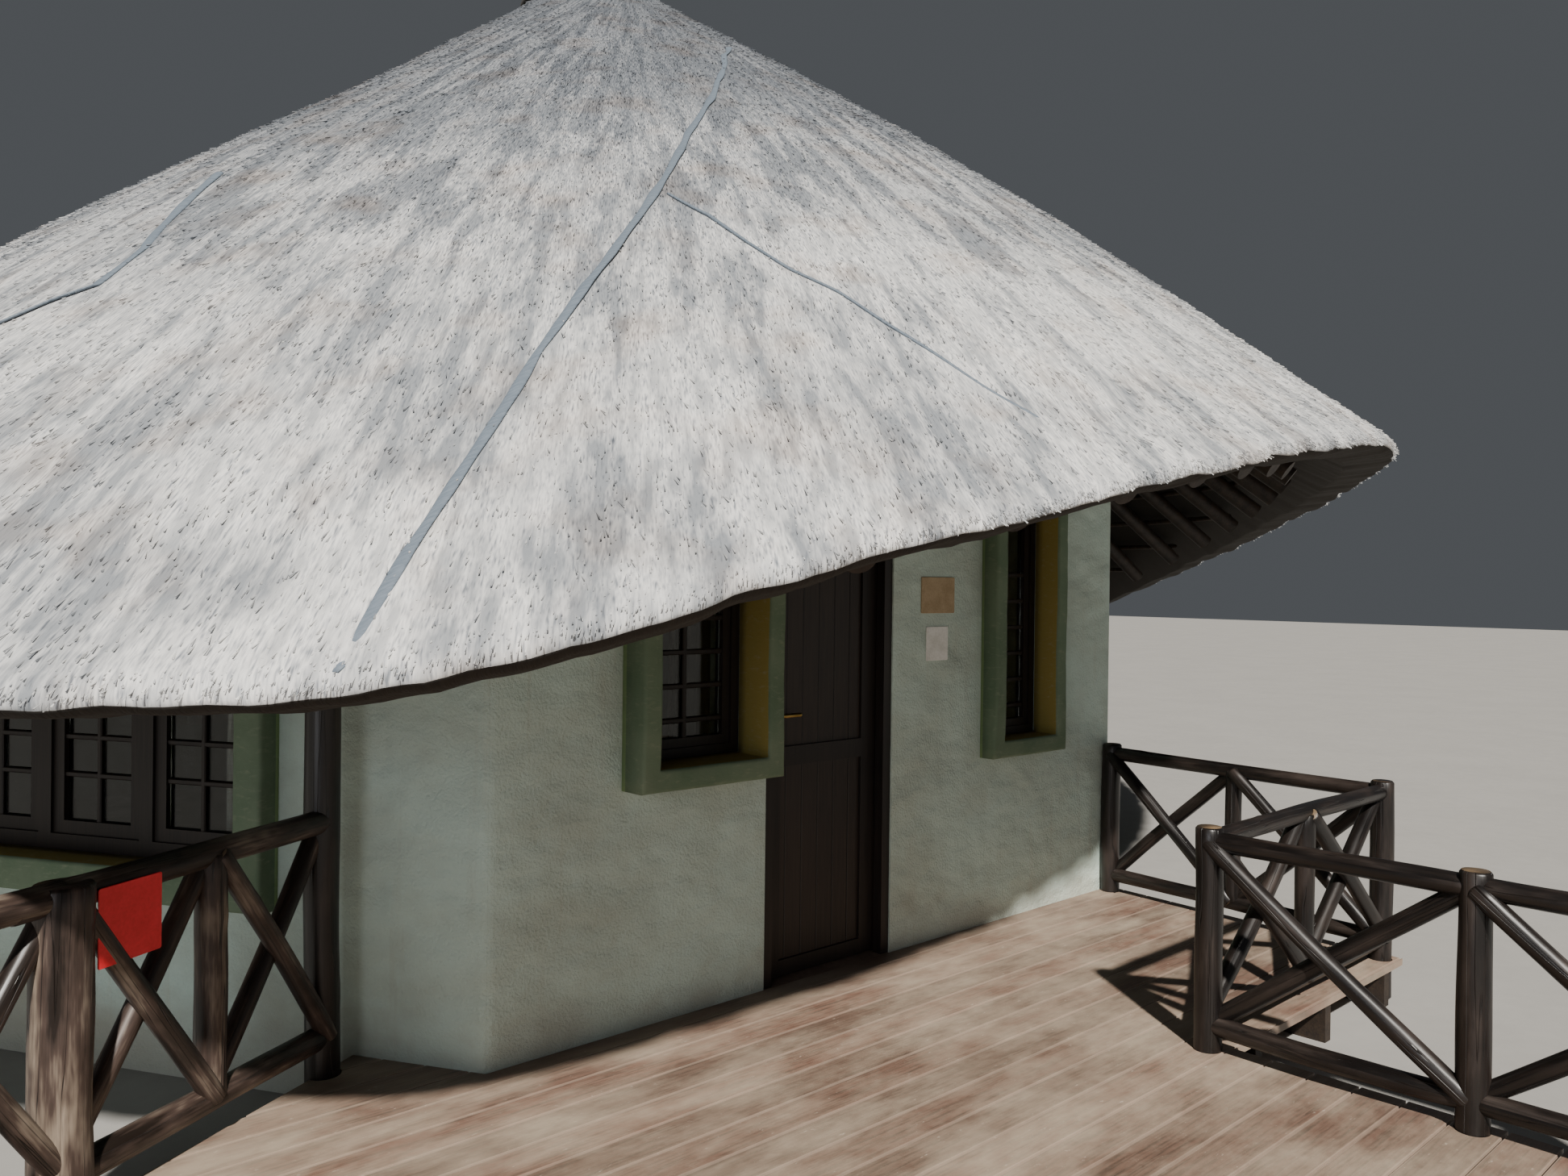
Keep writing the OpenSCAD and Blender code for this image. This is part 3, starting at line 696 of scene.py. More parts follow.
@dataclass(frozen=True)
class DeckBoard:
    """Oiled hardwood decking: each board its own brown, trodden to grey-tan, with worn edges."""

    red: str = "#765548"
    brown: str = "#624c41"
    dark: str = "#3f2f27"
    trodden: str = "#b1a28f"
    edge: str = "#c0ab9a"
    scuff: str = "#cdbfb0"
    pitch_mm: float = 145.0
    board_mm: float = 137.0
    first_mm: float = -6527.5
    grain_mm: tuple[float, float, float] = (200, 9, 40)
    wear_mm: tuple[float, float, float] = (520, 230, 420)
    scuff_mm: tuple[float, float, float] = (40, 16, 20)
    relief_mm: float = 1.2

    def material(self) -> bpy.types.Material:
        """Boards lie along x; y counts them from the deck's front, and the grain runs with x.

        A board's own number, drawn from its place, gives its brown and shifts its grain.

        Returns:
            The material.
        """
        f = Finish("oiled_deck_board")
        t, spot = f.tree, add(f.tree, "TexCoord", out=3)
        place = add(t, "Mapping", spot, Location=(0, -self.first_mm / self.pitch_mm, 0),
                    Scale=per_mm(self.pitch_mm))
        y = add(t, "SeparateXYZ", place, out=1)
        own = add(t, "TexWhiteNoise", add(t, "Math", y, operation="FLOOR"), noise_dimensions="1D")
        shift = add(t, "CombineXYZ", add(t, "Math", own, 9.0, operation="MULTIPLY"))
        moved = add(t, "VectorMath", add(t, "Mapping", spot, Scale=per_mm(*self.grain_mm)), shift)
        grain = add(t, "TexNoise", moved, 1.0, 4.0, 0.6)
        wear = add(t, "TexNoise", add(t, "Mapping", spot, Scale=per_mm(*self.wear_mm)),
                   1.0, 5.0, 0.65)
        scuff = add(t, "TexNoise", add(t, "Mapping", spot, Scale=per_mm(*self.scuff_mm)),
                    1.0, 3.0, 0.7)
        across = add(t, "Math", add(t, "Math", y, operation="FRACT"), self.pitch_mm / self.board_mm,
                     -0.5, operation="MULTIPLY_ADD")
        edge = add(t, "MapRange", add(t, "Math", across, operation="ABSOLUTE"), 0.46, 0.495)
        colour = self.red
        for share, over in ((own, self.brown),
                            (add(t, "MapRange", grain, 0.45, 0.7), self.dark),
                            (add(t, "MapRange", wear, 0.36, 0.68, 0.1, 0.75), self.trodden),
                            (add(t, "Math", edge, 0.35, operation="MULTIPLY"), self.edge),
                            (add(t, "MapRange", scuff, 0.66, 0.76, 0.0, 0.5), self.scuff)):
            colour = add(t, "Mix", share, colour, over, data_type="RGBA")
        rough = add(t, "MapRange", wear, 0.3, 0.7, 0.36, 0.72)
        return f.done(colour, rough, weigh(t, (grain, 1.0), (edge, -1.0)), self.relief_mm, 0.6)


@dataclass(frozen=True)
class Mottled:
    """Two sizes of mottle between two colours: mortar, screed, cast brass, steel or enamel."""

    name: str
    light: str
    dark: str
    rough: float = 0.7
    grain_mm: float = 40.0
    depth_mm: float = 1.0
    metallic: float = 0.0
    rough_swing: float = 0.06

    def material(self) -> bpy.types.Material:
        """Object coordinates; the fine mottle is an eighth of the coarse one.

        Returns:
            The material.
        """
        f = Finish(self.name)
        t, spot = f.tree, add(f.tree, "TexCoord", out=3)
        coarse, fine = (
            add(t, "TexNoise", add(t, "Mapping", spot, Scale=per_mm(size)), 1.0, 4.0, 0.6)
            for size in (self.grain_mm, self.grain_mm / 8))
        both = weigh(t, (coarse, 0.65), (fine, 0.35))
        f.shader.inputs["Metallic"].default_value = self.metallic
        colour = add(t, "ValToRGB", both, stops=[(0.36, self.dark), (0.62, self.light)])
        rough = add(t, "MapRange", both, 0.3, 0.7, self.rough + self.rough_swing,
                    self.rough - self.rough_swing)
        return f.done(colour, rough, both, self.depth_mm)


@dataclass(frozen=True)
class WindowGlass:
    """Clear float glass, a little dusty: sharp reflections over the dark room."""

    clean: str = "#e6ebea"
    dusty: str = "#cfd6d4"
    dust_mm: tuple[float, float, float] = (160, 160, 260)
    ior: float = 1.36

    def material(self) -> bpy.types.Material:
        """Dust in patches greys the panes and roughens them slightly.

        Returns:
            The material.
        """
        f = Finish("window_glass")
        t, spot = f.tree, add(f.tree, "TexCoord", out=3)
        dust = add(t, "TexNoise", add(t, "Mapping", spot, Scale=per_mm(*self.dust_mm)),
                   1.0, 4.0, 0.6)
        f.shader.inputs["Transmission Weight"].default_value = 1.0
        f.shader.inputs["IOR"].default_value = self.ior
        colour = add(t, "Mix", dust, self.clean, self.dusty, data_type="RGBA")
        return f.done(colour, add(t, "MapRange", dust, 0.4, 0.8, 0.01, 0.16))


@dataclass(frozen=True)
class CurtainCloth:
    """Plain-woven cotton: soft and matt, its threads drawn at 4 mm so that they show."""

    name: str
    light: str
    dark: str
    thread_mm: float = 4
    slub_mm: float = 60
    relief_mm: float = 0.6

    def material(self) -> bpy.types.Material:
        """Crossed threads on the UV map, which is the flat cloth in metres.

        Returns:
            The material.
        """
        f = Finish(self.name)
        t, uv = f.tree, add(f.tree, "UVMap")
        warp, weft = (add(t, "TexNoise", add(t, "Mapping", uv, Scale=per_mm(*size, 1)), 1.0, 2.0)
                      for size in ((self.thread_mm, self.slub_mm), (self.slub_mm, self.thread_mm)))
        weave = weigh(t, (warp, 0.5), (weft, 0.5))
        f.shader.inputs["Sheen Weight"].default_value = 0.2
        colour = add(t, "ValToRGB", weave, stops=[(0.4, self.dark), (0.6, self.light)])
        return f.done(colour, 0.9, weave, self.relief_mm)


# The roof

@dataclass
class Thatch:
    """The straw coat of the roof with its cut eave, the straw ends on it and the net's seams.

    Attributes:
        centre: place of the roof's axis.
        peak: height of the point.
        slope: angle of the back without its swell.
        thick: thickness of the thatch, square to the slope.
        swell: how far the middle of the back swells up.
        eave: radius of the eave's round part.
        drop: how far the cut starts below the back.
        trim: least distance from the axis to the trimmed part, in the direction "trim_way".
        bow: radius of the trimmed part's bow.
        soft: size of the softening where the round part meets the bow.
        lip: greatest height of the eave's face.
        round_lip: how far the cut lies below the back's end on the round part.
        inset: least distance of the straw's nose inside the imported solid.
        nose: distance inside the edge at which the nose's curve starts.
        tuck: distance inside the edge at which it ends, below.
        fall: steepest fall of the cut towards the axis.
        notches: greatest depth of the wide and of the narrow notches in the edge.
        core: radius left open at the point, under the cap.
        blunt: how far the top is pushed out on its blunt side, "blunt_way".
        cap: greatest reach of the mortar cap.
        cap_around: number of points in each of its rings.
        around: number of columns of the skin's grid.
        down: number of its rows down the back.
        u_reach: distance from the axis at which the UV map's u is true.
        straws_each: number of straws in each lot.
        seed: first of the seeds.
    """

    centre: tuple[float, float] = (0.66, -0.46)
    peak: float = 5.59
    slope: float = math.radians(36.2)
    thick: float = 0.19
    swell: float = 0.175
    eave: float = 5.53
    drop: float = 0.04
    trim: float = 4.43
    trim_way: float = math.radians(-65)
    bow: float = 6.9
    soft: float = 0.12
    lip: float = 0.05
    round_lip: float = 0.028
    inset: float = 0.014
    nose: float = 0.09
    tuck: float = 0.06
    fall: float = 0.12
    notches: tuple[float, float] = (0.014, 0.007)
    core: float = 0.02
    blunt: float = 0.40
    blunt_way: float = math.radians(144)
    cap: float = 0.38
    cap_around: int = 96
    around: int = 860
    down: int = 82
    u_reach: float = 4.0
    straws_each: int = 32000
    seed: int = 11

    def reach(self, way: np.ndarray) -> np.ndarray:
        """Distance from the axis to the eave: the circle's radius, or where less the bow's.

        The corner between them is softened: half their sum less half the root of their difference
        squared plus "soft" squared.

        Args:
            way: directions from the axis.

        Returns:
            The distance in each direction.
        """
        c, b = self.bow - self.trim, way - self.trim_way
        trimmed = np.sqrt(self.bow**2 - (c * np.sin(b))**2) - c * np.cos(b)
        return (self.eave + trimmed - np.sqrt((self.eave - trimmed)**2 + self.soft**2)) / 2

    def back(self, r: np.ndarray) -> np.ndarray:
        """Height of the coat's back: a straight slope plus one half wave of swell."""
        return (self.peak - r * math.tan(self.slope)
                + self.swell * np.sin(np.pi * np.minimum(r, self.eave) / self.eave))

    def cut(self, way: np.ndarray) -> tuple[np.ndarray, np.ndarray]:
        """The eave's cut: almost level on the round part, and a slanting plane on the trimmed one.

        The plane lies "drop" below the back at the bow's two ends and in its middle. The cut is
        nowhere more than "lip" below the back.

        Args:
            way: directions from the axis.

        Returns:
            The cut's height at the edge, and its rise towards the edge, in each direction.
        """
        off = self.bow - self.trim
        start = (self.bow**2 - self.eave**2 - off**2) / off / 2
        low = float(self.back(np.array(self.eave)))
        rise = (float(self.back(np.array(self.trim))) - low) / (self.trim - start)
        ahead = np.cos(way - self.trim_way)
        plane = low - self.drop + rise * (self.reach(way) * ahead - start)
        trimmed = self.reach(way) < self.eave - 0.03
        level = self.drop / ((self.thick / math.cos(self.slope) - self.drop) / math.tan(self.slope))
        high = np.maximum(np.where(trimmed, plane, low - self.round_lip),
                          self.back(self.reach(way)) - self.lip)
        return high, np.where(trimmed, rise * ahead, level)

    def point(self, way: np.ndarray, r: np.ndarray, z: np.ndarray) -> np.ndarray:
        """Points round the roof's axis.

        The roof's top is blunt on one side: there the distance grows by up to "blunt", which fades
        out with the distance and with the turn away from that side.

        Args:
            way: directions from the axis.
            r: distances from it.
            z: heights.

        Returns:
            The points, in the shape to which the three broadcast.
        """
        more = self.blunt * np.clip(1 - r / 2.2, 0, 1)**1.5 * (
            0.5 + 0.5 * np.cos(way - self.blunt_way))**2
        return np.stack(np.broadcast_arrays(self.centre[0] + (r + more) * np.cos(way),
                                            self.centre[1] + (r + more) * np.sin(way), z), -1)

    def uneven(self, way: np.ndarray, r: np.ndarray) -> np.ndarray:
        """How far the back sinks: long soft waves, short ones and shallow furrows down the slope.

        Args:
            way: directions from the axis.
            r: distances from it.

        Returns:
            The depth at each point, which fades out within half a metre of the axis.
        """
        rng = np.random.default_rng(self.seed)
        x, y = r * np.cos(way), r * np.sin(way)
        low = ripple(rng, x, y, pitch=1.1, waves=9)
        high = ripple(rng, x, y, pitch=0.35, waves=12)
        furrow = ripple(rng, way * 7.0, r * 0.35, pitch=0.8, waves=10)
        depth = 0.012 * (1 + low / 2) + 0.006 * (1 + high / 2) + 0.005 * (1 + furrow / 2)
        return depth * np.clip(r / 0.5, 0, 1)

    def skin(self) -> tuple[np.ndarray, np.ndarray]:
        """The coat's skin as a grid of points.

        One parameter is the direction, the other runs from the point down the back, round the nose
        on a cubic curve, in along the cut and up the underside. Uneven waves sink the back by up
        to 4 cm and draw the nose in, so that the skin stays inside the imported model's box.

        Returns:
            The grid, and the distance of each of its rows down the slope, with UNDER_EAVE added
            below the nose.
        """
        rng = np.random.default_rng(self.seed + 1)
        way = turns(self.around)
        edge = self.reach(way)
        ax, ay = edge * np.cos(way), edge * np.sin(way)
        notch = (0.5 + 0.5 * ripple(rng, ax, ay, pitch=0.30, waves=9)).clip(0, 2)
        fray = (0.5 + 0.5 * ripple(rng, ax, ay, pitch=0.11, waves=9)).clip(0, 2)
        end = edge - self.inset - self.notches[0] * notch - self.notches[1] * fray
        high, rise = self.cut(way)
        high = high + 0.006 + 0.010 * notch + 0.006 * fray
        fall = np.minimum(rise, self.fall)

        share = np.linspace(0, 1, self.down)[:, None] ** 0.9
        r_back = share * (end - self.nose) + self.core * (1 - share)
        z_back = self.back(r_back)

        t = np.linspace(0, 1, 14)[1:-1, None]
        r_in = end - self.tuck
        bend = [(end - self.nose, self.back(end - self.nose)),
                (end - 0.010, self.back(end - 0.010)),
                (end, high + 0.006), (r_in, high - fall * self.tuck)]
        weights = [(1 - t)**3, 3 * t * (1 - t)**2, 3 * t**2 * (1 - t), t**3]
        r_lip, z_lip = (sum(w * p[axis] for w, p in zip(weights, bend)) for axis in (0, 1))

        top = self.peak - self.thick / math.cos(self.slope)
        foot = (top - high + rise * end) / (math.tan(self.slope) + rise) + self.core
        t = np.linspace(0, 1, 5)[:, None]
        r_cut = r_in * (1 - t) + foot * t
        z_cut = high - fall * (end - r_cut)

        t = np.linspace(0, 1, 15)[1:, None]
        r_under = foot * (1 - t) + self.core * t
        z_under = np.maximum(top - r_under * math.tan(self.slope) + 0.016, z_cut[-1:] - 0.5)

        r = np.concatenate([r_back, r_lip, r_cut, r_under])
        z = np.concatenate([z_back, z_lip, z_cut, z_under])
        rows = np.arange(len(r))[:, None]
        below = rows > self.down + 8
        sink = self.uneven(way[None], r) * np.clip((self.down + 3 - rows) / 8, 0, 1)
        lump = 0.004 * (1 + ripple(rng, r * np.cos(way), r * np.sin(way), pitch=0.16, waves=12) / 2)
        run = np.concatenate([[0], np.cumsum(np.hypot(np.diff(r[:, 0]), np.diff(z[:, 0])))])
        return self.point(way, r, z - sink + lump * below), run + UNDER_EAVE * below[:, 0]

    def coat(self, skin: np.ndarray, run: np.ndarray) -> Shape:
        """The coat as a closed mesh of the skin's grid.

        Args:
            skin: the grid of points.
            run: the distance of each row down the slope.

        Returns:
            The coat, with UVs in metres round the roof and down the slope.
        """
        faces, ci, cj = lattice(len(run), self.around)
        uv = np.stack([cj * 2 * np.pi / self.around * self.u_reach, run[ci % len(run)]], -1)
        ends = lids(len(run), self.around)
        return Shape(skin.reshape(-1, 3), [faces[:, ::-1], ends[:, ::-1]],
                     [uv[:, ::-1], np.zeros((2, self.around, 2))])

    def straws(self, rng: np.random.Generator, skin: np.ndarray, run: np.ndarray, row: np.ndarray,
               long: float, wide: float, rise: tuple[float, float]) -> Shape:
        """Straw ends, each a slim four-faced wedge whose point sits in the skin.

        Each is rooted at a random place of the skin's grid, found by linear interpolation, and lies
        down the grid's columns, combed by a soft wave and lifted along the grid's normal.

        Args:
            rng: the seeded source of numbers.
            skin: the coat's grid of points.
            run: the distance of each row down the slope.
            row: the row of each straw's root, with fractions.
            long: mean length.
            wide: mean width at the butt.
            rise: least and greatest rise from the coat, as a slope.

        Returns:
            The straws in one shape.
        """
        n = len(row)
        col = rng.uniform(0, self.around, n)
        i, j = row.astype(int), col.astype(int) % self.around
        k, fi, fj = (j + 1) % self.around, (row % 1)[:, None], (col % 1)[:, None]
        root = ((skin[i, j] * (1 - fj) + skin[i, k] * fj) * (1 - fi)
                + (skin[i + 1, j] * (1 - fj) + skin[i + 1, k] * fj) * fi)
        lie = np.minimum(i, self.down - 2)
        along, across = unit(skin[lie + 1, j] - skin[lie, j]), unit(skin[i, k] - skin[i, j])
        normal = unit(np.cross(along, across))
        length = (long * rng.uniform(0.5, 1.5, n))[:, None]
        size = (wide * rng.uniform(0.6, 1.5, n))[:, None]
        comb = 0.16 * ripple(rng, root[:, 0], root[:, 1], pitch=0.8, waves=8)
        skew = (rng.normal(0, 0.14, n) + comb)[:, None]
        root = root - normal * 0.003
        tip = root + unit(along + across * skew
                          + normal * rng.uniform(*rise, n)[:, None]) * length
        out = tip[:, :2] - self.centre
        far = np.hypot(*out.T)
        over = np.minimum(0, self.reach(np.arctan2(out[:, 1], out[:, 0])) - 0.006 - far)
        tip[:, :2] += out / far[:, None] * over[:, None]
        turn = rng.uniform(0, 2 * np.pi, n)[:, None]
        third = 2.094
        corners = [tip + size / 2 * (np.cos(turn + c * third) * across
                                     + np.sin(turn + c * third) * normal) for c in range(3)]
        start = np.arange(n)[:, None] * 4
        tris = np.concatenate([start + np.array(f) for f in
                               ([0, 2, 1], [0, 3, 2], [0, 1, 3], [1, 2, 3])])
        u = (col * 2 * np.pi / self.around * self.u_reach + rng.uniform(-0.03, 0.03, n))[:, None]
        v = np.minimum(run[i], UNDER_EAVE - 1.1)[:, None]
        flat = np.stack([u + np.zeros((1, 3)), v + np.zeros((1, 3))], -1)
        return Shape(np.stack([root, *corners], 1).reshape(-1, 3), [tris],
                     [np.concatenate([flat] * 4)])

    def seam(self, route: list[tuple[float, float]], wide: float, seed: int) -> Shape:
        """A flattened roll of net along a route on the coat: an oval carried along a smooth line.

        Args:
            route: directions in degrees and distances from the point.
            wide: the oval's width.
            seed: seed of its waviness.

        Returns:
            The seam, closed, with UVs in metres.
        """
        rng = np.random.default_rng(seed)
        way, r = np.radians([p[0] for p in route]), np.array([p[1] for p in route])
        t = np.linspace(0, len(route) - 1, 22 * len(route))
        way, r = np.interp(t, range(len(route)), way), np.interp(t, range(len(route)), r)
        way = way + 0.005 / np.maximum(r, 0.4) * ripple(rng, r, pitch=0.5)
        line = self.point(way, r, self.back(r) - self.uneven(way, r) + 0.002)
        along = unit(np.gradient(line, axis=0))
        up = unit(np.cross(along, np.cross([0.0, 0.0, 1.0], along)))
        side = np.cross(along, up)
        sides = 12
        turn = turns(sides)
        swell = (1 + 0.18 * ripple(rng, r, pitch=0.16))[:, None]
        swell[[0, -1]] *= 0.5
        points = (line[:, None] + (swell * wide / 2 * np.cos(turn))[..., None] * side[:, None]
                  + (swell * 0.005 * np.sin(turn))[..., None] * up[:, None])
        faces, ci, cj = lattice(len(t), sides)
        run = np.concatenate([[0], np.cumsum(np.linalg.norm(np.diff(line, axis=0), axis=1))])
        uv = np.stack([cj * wide / 6 + run[ci] * 0.5, run[ci]], -1)
        return Shape(points.reshape(-1, 3), [faces, lids(len(t), sides)],
                     [uv, np.zeros((2, sides, 2))])

    def crown(self) -> Shape:
        """The mortar cap over the point: a lumpy dome on the back with a ragged, rounded rim.

        Rings run from the middle over the back, round the rim and back to the middle just above
        the straw; two waves in the direction make the rim's outline uneven.

        Returns:
            The cap, closed.
        """
        rng = np.random.default_rng(self.seed + 30)
        way = turns(self.cap_around)
        edge = self.cap * (0.62 + 0.38 * np.cos(way - self.blunt_way)
                           + 0.05 * ripple(rng, np.cos(way), np.sin(way), pitch=1.2, waves=9))
        over = [(0.03, 7), (0.2, 7), (0.4, 7), (0.6, 6.5), (0.78, 6), (0.9, 5.4), (0.96, 4.8),
                (0.99, 3.6), (1.0, 1.8)]
        under = [(0.985, 0.4), (0.95, 0.0), (0.8, 0.2), (0.5, 0.4), (0.03, 0.4)]
        share, thick_cm = np.array(over + under).T[..., None]
        thick = thick_cm / 100
        r = share * edge
        lump = 0.006 * ripple(rng, r * np.cos(way), r * np.sin(way), pitch=0.14, waves=12)
        z = self.back(r) + np.minimum(thick + lump * (thick > 0.02), 0.10) + 0.004
        points = self.point(way, r, z)
        faces, ci, cj = lattice(len(share), self.cap_around)
        ends = lids(len(share), self.cap_around)
        return Shape(points.reshape(-1, 3), [faces[:, ::-1], ends[:, ::-1]],
                     [np.stack([cj, ci], -1)[:, ::-1] * 0.02, np.zeros((*ends.shape, 2))])

    def build(self, straw: bpy.types.Material, net: bpy.types.Material,
              mortar: bpy.types.Material) -> None:
        """Makes the coat, its straw ends, the fringe at the eave, the net's seams and the cap.

        The first lot of straws is the fringe: short straws rooted about the nose. The others lie on
        the back, denser towards the eave.

        Args:
            straw: finish of the coat and the straws.
            net: finish of the seams.
            mortar: finish of the cap.
        """
        skin, run = self.skin()
        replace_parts(self.coat(skin, run).piece("thatch_coat", "thatch", straw), "thatch")
        for lot in range(5):
            rng = np.random.default_rng(self.seed + 10 + lot)
            share = rng.uniform(0.002, 1, self.straws_each)
            row = share ** (1 / 1.8) * (self.down - 1) if lot else self.down - 4 + share * 10
            size = (0.034, 0.0042, (0.05, 0.28)) if lot else (0.018, 0.0036, (-0.15, 0.25))
            self.straws(rng, skin, run, row, *size).piece(
                f"straw_ends_{lot}" if lot else "eave_fringe", "thatch", straw, smooth=False)
        front = [(-103.8, 1.42), (-109.3, 1.7), (-115.2, 2.2), (-118.35, 2.57), (-121.0, 2.92),
                 (-123.7, 3.43), (-126.0, 3.86), (-127.35, 4.11), (-128.8, 4.44), (-130.3, 4.92),
                 (-130.95, 5.14), (-131.5, 5.42)]
        branch = [(-123.45, 3.5), (-121.25, 3.64), (-119.75, 3.81), (-118.1, 3.96),
                  (-116.35, 4.08), (-114.3, 4.27), (-112.55, 4.45), (-110.95, 4.62)]
        left = [(-154.75, 3.24), (-152.8, 3.51), (-150.25, 3.85), (-149.9, 4.07),
                (-151.15, 4.16), (-152.1, 4.27)]
        right = [(60, 1.3), (64, 3.0), (61, 5.42)]
        rear = [(158, 1.3), (154, 3.2), (157, 5.42)]
        widths = ((front, 0.032), (branch, 0.015), (left, 0.030), (right, 0.032), (rear, 0.032))
        Shape.joined([self.seam(route, wide, seed) for seed, (route, wide) in enumerate(widths, 1)]
                     ).piece("net_seams", "thatch", net)
        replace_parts(self.crown().piece("mortar_cap", "cap", mortar), "ridge_cap")


# Round poles

@dataclass
class Pole:
    """A debarked gum pole between two points, a little crooked, with knots and eased ends.

    Attributes:
        a: middle of its first end.
        b: middle of its other end.
        wide: its diameter.
        seed: seed of its unevenness.
        sides: number of points in a ring.
        step: distance between rings.
        crook: typical sag of its bow, for a pole of a metre.
        ease: length of the eased edge at each end.
        knot: height of a knot, as a share of the diameter.
    """

    a: tuple[float, float, float]
    b: tuple[float, float, float]
    wide: float
    seed: int = 0
    sides: int = 20
    step: float = 0.04
    crook: float = 0.008
    ease: float = 0.008
    knot: float = 0.05

    def shape(self) -> Shape:
        """A tube round a slightly bowed line.

        The radius is a little less than the pole's, with a ripple in the angle and the length and
        a round knot every half metre or so, and never more than the pole's. A short ring at each
        end eases the edge, and one face closes it.

        Returns:
            The pole, closed, with UVs in metres round and along it.
        """
        rng = np.random.default_rng(self.seed)
        a, b = np.array(self.a, float), np.array(self.b, float)
        length = float(np.linalg.norm(b - a))
        along = (b - a) / length
        side = unit(np.cross(along, [0.31, 0.22, 0.93] if abs(along[2]) < 0.9 else [1.0, 0.1, 0.0]))
        up = np.cross(along, side)
        body = np.linspace(self.ease, length - self.ease, max(4, int(length / self.step)))
        s = np.concatenate([[0.0], body, [length]])
        turn = turns(self.sides)
        far, angle = np.meshgrid(s, turn, indexing="ij")
        uneven = ripple(rng, np.cos(angle), np.sin(angle), far / 0.25, pitch=2.2)
        r = self.wide / 2 * (0.955 + 0.035 * uneven)
        for _ in range(max(1, int(length / 0.5))):
            at, way = rng.uniform(0, length), rng.uniform(0, 6.28)
            gap = np.angle(np.exp(1j * (angle - way))) * self.wide / 2
            r = r + self.knot * self.wide * np.exp(
                -((far - at)**2 + gap**2) / (0.25 * self.wide)**2)
        r = np.minimum(r, self.wide / 2)
        r[[0, -1]] -= self.ease * 0.8
        bow = self.crook * np.sin(np.pi * s / length)[:, None, None] * (
            rng.normal() * side + rng.normal() * up) * min(1, length) * 0.6
        out = np.cos(angle)[..., None] * side + np.sin(angle)[..., None] * up
        points = a + far[..., None] * along + bow + r[..., None] * out
        faces, ci, cj = lattice(len(s), self.sides)
        uv = np.stack([cj * (np.pi * self.wide / self.sides), s[ci] + rng.uniform(0, 40)], -1)
        flat = np.stack([np.cos(turn), np.sin(turn)], -1) * self.wide / 2 + [0, CUT_END]
        return Shape(points.reshape(-1, 3), [faces, lids(len(s), self.sides)],
                     [uv, np.stack([flat[::-1], flat])])


